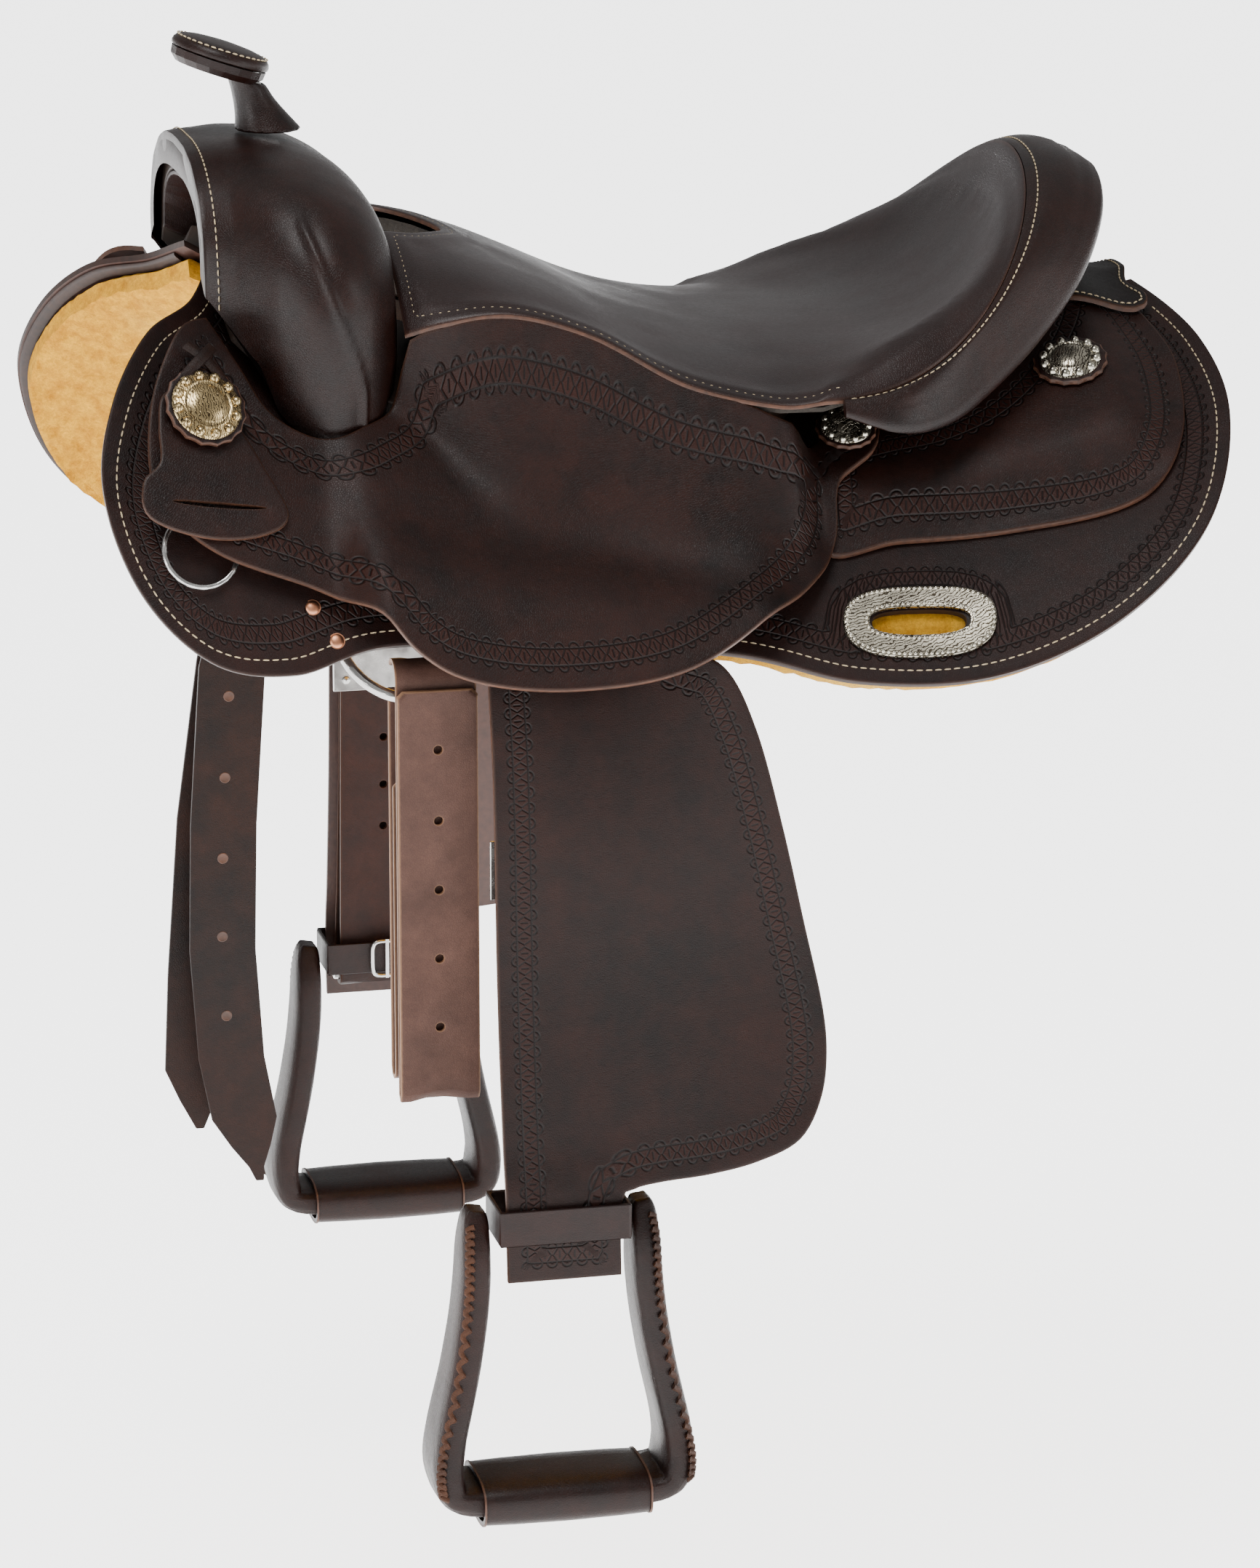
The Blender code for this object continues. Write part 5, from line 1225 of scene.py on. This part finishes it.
def strap_piece(name, path, x0, x1, thick, holes, mats, body, replaced=(), step=0.010):
    """A strap cut from (x0, 0) to (x1, its length), punched with holes, and bent along a (y, z) path."""
    pts, far = run_of(path)
    length = far[-1]
    tang = np.gradient(pts, far, axis=0)
    tang /= np.linalg.norm(tang, axis=1)[:, None]
    r = 0.003
    outline = [(x0 + r, 0, 1), (x1 - r, 0, 1), (x1, r, 1), (x1, length - r, 1), (x1 - r, length, 1),
               (x0 + r, length, 1), (x0, length - r, 1), (x0, r, 1)]
    rings = [[(cx + HOLE_R * math.cos(w), cv + HOLE_R * math.sin(w))
              for w in (2 * PI * k / 14 for k in range(14))]
             for cx, cv in holes]
    flat = cut_out(outline, rings, step, 0.004, (0.0005, 0.0012, 0.0026, 0.006))

    def place(u, v, up):
        y, z = np.interp(v, far, pts[:, 0]), np.interp(v, far, pts[:, 1])
        ty, tz = np.interp(v, far, tang[:, 0]), np.interp(v, far, tang[:, 1])
        s = math.hypot(ty, tz)
        q = Vector((u, y, z))
        rise = up - thick / 2
        return q + Vector((0, -tz / s, ty / s)) * rise
    lay(name, flat, place, thick, mats, body, replaced, 0.0006)


RING_AT, RING_R, WIRE, PLAY = (-0.2170, 0.2370), 0.0405, 0.0035, 0.0016


def rig_fold(side, reach, wall):
    """y of the outer and inner runs, and z of the fold, of a strap hung over the rigging ring."""
    up, foot = (back(RING_AT[0], RING_AT[1] + a, 0.0034, side) for a in (-RING_R, RING_R))
    fore, aft = (back(RING_AT[0] + a, RING_AT[1], 0.0034, side) for a in (-RING_R, RING_R))
    down = (foot - up).normalized()
    mid = (up + foot + fore + aft) / 4
    foot = mid + down * RING_R
    bear = foot - down * (RING_R - math.sqrt(RING_R ** 2 - reach ** 2))
    clear = WIRE + PLAY + wall / 2
    return abs(foot.y) + clear, abs(bear.y) - clear, bear.z


latigo_hide = leather("latigo_hide", (0.046, 0.0215, 0.0155), (0.108, 0.0540, 0.0400), 0.55, 0.7,
                      cut=(0.24, 0.130, 0.070))
latigo_edge = striped_edge("latigo_edge", (0.17, 0.085, 0.045), 1.8)
outer, inner, top = rig_fold(NEAR, 0.0303, 0.0028)
mid_y, bow = (outer + inner) / 2, (outer - inner) / 2
half_turn = (mid_y - inner) / 2
LATIGO = [(-mid_y, -0.168), (-mid_y, -0.330)]
LATIGO += [(-a, b) for a, b in bend_line((mid_y - half_turn, -0.333), half_turn, 0, -180)]
LATIGO += [(-inner, -0.200), (-inner, top)]
LATIGO += [(-a, b) for a, b in bend_line((mid_y, top), bow, 180, 0)]
LATIGO += [(-outer, -0.200), (-outer, -0.340)]
LATIGO += [(-a, b) for a, b in bend_line((outer + 0.0026, -0.344), 0.0026, 180, 360)]
LATIGO += [(-outer - 0.0052, -0.250), (-outer - 0.0052, -0.160), (-outer - 0.0052, top - 0.0035)]


def punched(path, runs_there, x, heights):
    """Where holes at x and these heights lie on a cut strap, in the run that the test picks out."""
    pts, far = run_of(path)
    there = [(i, z) for i, (y, z) in enumerate(pts) if runs_there(y)]
    return [(x, far[min(there, key=lambda e: abs(e[1] - z))[0]]) for z in heights]


holes = punched(LATIGO, lambda y: y < -outer - 0.005, -0.2090, (-0.146, -0.186, -0.226, -0.266, -0.306))
strap_piece("latigo", LATIGO, -0.2312, -0.1867, 0.0026, holes, [latigo_hide, latigo_edge, latigo_hide],
            "latigo",
            "latigo_near")


# ---- off billet --------------------------------------------------------------------------------
# Heavy doubled strap on the off side, tapering to a point, with a row of punched holes.
billet_hide = leather("billet_hide", (0.0050, 0.0018, 0.0011), (0.024, 0.0072, 0.0034), 0.46, 0.8)
keep("off_billet", billet_hide, 0.0005)
BILLET_LINE = [(-0.531, -0.241), (-0.500, -0.248), (-0.447, -0.258), (-0.380, -0.262), (-0.300, -0.260),
               (-0.200, -0.253), (-0.120, -0.231)]
PUNCHED = [(0, 0.0001), (0.0024, 0.0001), (0.0030, 0.0003), (0.0034, 0.0001), (0.0034, -0.0004),
           (0, -0.0004)]
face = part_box("off_billet")[0].y
for k, z in enumerate((-0.2188, -0.2700, -0.3211, -0.3711, -0.4222)):
    turned(f"billet_hole_{k + 1}", PUNCHED, (along(BILLET_LINE, z), face, z), (0, -1, 0), [tan_edge],
           "billet",
           (), 24)


# ---- fenders and stirrup leathers --------------------------------------------------------------
# The fender is a wide stamped panel sewn to the stirrup leather that hangs behind it. The leather
# goes round the stirrup's bolt and back up inside to a plate with a sliding lock.
HINGE, PIN = (-0.140, -0.035), (-0.1515, 0.262, -0.415)
FLARE = [(0.0, 0.1665), (0.015, 0.1835), (0.030, 0.1975), (0.045, 0.2090), (0.060, 0.2195), (0.075, 0.2290),
         (0.090, 0.2350), (0.120, 0.2430), (0.160, 0.2495), (0.250, 0.2570), (0.330, 0.2690),
         (0.360, 0.2757),
         (0.430, 0.2770)]
FENDER = [(-0.172, -0.068), (-0.140, -0.064), (-0.108, -0.076), (-0.078, -0.095), (-0.0530, -0.106),
          (-0.037, -0.140), (-0.023, -0.195), (-0.012, -0.247), (-0.003, -0.292), (-0.001, -0.320),
          (-0.005, -0.345), (-0.018, -0.367), (-0.042, -0.378), (-0.069, -0.3835), (-0.096, -0.3860),
          (-0.112, -0.3890), (-0.1190, -0.396), (-0.1195, -0.437, 1), (-0.1830, -0.437, 1),
          (-0.1835, -0.400),
          (-0.1835, -0.300), (-0.1830, -0.160), (-0.1820, -0.100)]
fender_hide = leather("fender_hide", (0.0034, 0.0011, 0.0007), (0.0185, 0.0044, 0.0022), 0.45,
                      border=(0.0150, 0.0042, 0.0084),
                      cut=(0.030, 0.011, 0.005), clear=0.03)
raw_hide = leather("raw_hide", (0.0060, 0.0019, 0.0012), (0.0300, 0.0080, 0.0040), 0.50, 0.8,
                   cut=(0.05, 0.018, 0.008))
fender_flat = cut_out(FENDER, (), 0.011)
INNER_RUN = ((0.0098, -0.385), (0.0140, -0.320), (0.0190, -0.250), (0.0205, -0.230), (0.0205, -0.203))
for side, tag in SIDES:
    body = "fender_" + tag

    def on_fender(x, z, up):
        rho = math.hypot(x - HINGE[0], z - HINGE[1])
        bow = noise.noise(Vector((x * 9, z * 9, side))) * 0.0007
        return Vector((x, side * (along(FLARE, rho) + up + bow), z))
    lay("fender_hide_" + tag, fender_flat, on_fender, 0.0040, [fender_hide, tan_edge, flesh_side], body,
        "fender_" + tag)
    py, pz = PIN[1], PIN[2]
    line = [(along(FLARE, 0.370 * i / 40) - 0.0040, HINGE[1] - 0.370 * i / 40) for i in range(41)]
    line = [p for p in line if p[1] > -0.380] + [(py + 0.0098, -0.400)]
    line += bend_line((py, pz), 0.0098, 0, -180)
    line += [(py - a, b) for a, b in INNER_RUN]
    line = [(side * a, b) for a, b in line]
    holes = punched(line, lambda y: abs(y) < py - 0.006, PIN[0], (-0.262, -0.292, -0.322))
    strap_piece("stirrup_strap_" + tag, line, PIN[0] - 0.027, PIN[0] + 0.027, 0.0032, holes,
                [raw_hide, tan_edge, raw_hide], body, "stirrup_leather_" + tag)
    keep("adjuster_plate_" + tag, stainless, 0.0005)
    low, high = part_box("adjuster_plate_" + tag)
    face = low.y if side > 0 else high.y
    for k, (dx, dz) in enumerate(((0.008, 0.007), (-0.008, 0.007), (0.008, -0.007), (-0.008, -0.007))):
        p = Vector(((low.x if dx > 0 else high.x) + dx, face, (low.z if dz > 0 else high.z) + dz))
        rivet(f"adjuster_stud_{k + 1}_{tag}", p, Vector((0, -side, 0)), body, 0.0032, stainless)
    keep("hobble_strap_" + tag, plain_hide, 0.0018)

    # the buckle is a bent nickel frame with a tongue
    low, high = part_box("hobble_buckle_" + tag)
    mid = (low + high) / 2
    through = Vector((0, 1, 0))
    ring_pts = []
    for k in range(40):
        u, v = squarish(2 * PI * k / 40, 0.45)
        ring_pts.append(mid + Vector((0.0092 * u, 0, 0.0112 * v)))
    rings = []
    for k in range(40):
        a = (ring_pts[(k + 1) % 40] - ring_pts[k - 1]).normalized()
        b = through.cross(a).normalized()
        rings.append([ring_pts[k] + (b * math.cos(u) + through * math.sin(u)) * 0.0014
                      for u in (PI * j / 4 for j in range(8))])
    name = "hobble_buckle_frame_" + tag
    dress(mesh_of(name, *loft(rings, True), 80), name, stainless, body, "hobble_buckle_" + tag)
    tongue = [mid + Vector((0, -side * 0.0005, dz)) for dz in (-0.0125, -0.004, 0.004, 0.0125)]
    strip("hobble_tongue_" + tag, tongue, [Vector((0, -side, 0))] * 4, 0.0024, 0.0018, stainless, body)


# ---- stirrups ----------------------------------------------------------------------------------
# Bent wooden bells covered in leather, laced down the outer edge with a flat thong, with a wider
# wrap sewn round the tread. A steel bolt through the tops hangs them on the leathers.
stirrup_hide = leather("stirrup_hide", (0.0038, 0.0012, 0.0008), (0.0190, 0.0048, 0.0026), 0.40, 1.0,
                       clear=0.08)
whip_lace = leather("whip_lace", (0.014, 0.0048, 0.0022), (0.075, 0.026, 0.010), 0.50)
HALF = [(0.0462, -0.3980, 0.0050, 0.008), (0.0470, -0.4030, 0.0076, 0.010),
        (0.0478, -0.4180, 0.0088, 0.016),
        (0.0482, -0.4380, 0.0092, 0.018), (0.0505, -0.4620, 0.0092, 0.019),
        (0.0560, -0.4950, 0.0092, 0.021),
        (0.0635, -0.5260, 0.0092, 0.023), (0.0660, -0.5450, 0.0094, 0.025),
        (0.0635, -0.5590, 0.0097, 0.026),
        (0.0560, -0.5655, 0.0098, 0.026)]
TREAD_Z, TREAD_SQUARE = -0.5655, 0.62
COVER = ((-0.0475, 0.0006), (-0.0475, 0.0026), (-0.0455, 0.0031), (-0.030, 0.0036), (0.0, 0.0040),
         (0.030, 0.0036),
         (0.0455, 0.0031), (0.0475, 0.0026), (0.0475, 0.0006))


def round_tread(x, wide, high, side, count, steps):
    """Points round the tread at x, with these half sizes."""
    turns = [squarish(2 * PI * k / steps, TREAD_SQUARE) for k in range(count)]
    return [Vector((PIN[0] + x, side * PIN[1] + wide * u, TREAD_Z + high * v)) for u, v in turns]


def bell(k):
    """x, z, half thickness and half depth of the stirrup's side, k rows down."""
    return [along([(i, row[d]) for i, row in enumerate(HALF)], k) for d in range(4)]


for side, tag in SIDES:
    body = "stirrup_" + tag
    keep("stirrup_frame_" + tag, stirrup_hide, 0, 2)
    name = "tread_wrap_" + tag
    cover = [round_tread(x, 0.0258 + grow, 0.0097 + grow, side, 40, 40) for x, grow in COVER]
    dress(mesh_of(name, *loft(cover, True), 50), name, stirrup_hide, body,
          "tread_cover_" + tag)
    for place, end in (("front", -0.0470), ("rear", 0.0470)):
        pts = round_tread(end, 0.0291, 0.0128, side, 49, 48)
        ups = [(p - Vector((p.x, side * PIN[1], TREAD_Z))).normalized() for p in pts]
        strip(f"tread_edge_{place}_{tag}", pts, ups, 0.0012, 0.0010, tan_edge, body)
    keep("stirrup_bolt_" + tag, stainless, 0.0004)

    # the thong goes over the outer corner from hole to hole
    for place, fb in (("front", -1), ("rear", 1)):
        rail = []
        for k in (1.2 + 6.6 * i / 26 for i in range(27)):
            x, z, thick, deep = bell(k)
            rail.append((PIN[0] + fb * (x + thick * 0.72), z, deep))
        verts, faces = [], []
        for (x, z, d), (x2, z2, d2) in zip(rail, rail[1:]):
            a = Vector((x - fb * 0.0040, side * (PIN[1] + d + 0.0004), z))
            b = Vector((x + fb * 0.0030, side * (PIN[1] + d * 0.80), (z + z2) / 2 - 0.0004))
            c = Vector((x2 - fb * 0.0040, side * (PIN[1] + d2 + 0.0004), z2 - 0.0010))
            path = [a.lerp(b, u) * (1 - u) + b.lerp(c, u) * u for u in (0, 0.2, 0.4, 0.6, 0.8, 1)]
            rings = []
            for i, p in enumerate(path):
                t = (path[min(i + 1, 5)] - path[max(i - 1, 0)]).normalized()
                n = (p - Vector((x - fb * 0.006, side * PIN[1], z))).normalized()
                w = n.cross(t).normalized()
                rings.append([p - w * 0.0017 + n * 0.0006, p + n * 0.0019, p + w * 0.0017 + n * 0.0006,
                              p - n * 0.0006])
            join(verts, faces, rings)
        name = f"stirrup_lace_{place}_{tag}"
        dress(mesh_of(name, verts, faces, 80, False), name, whip_lace, body)
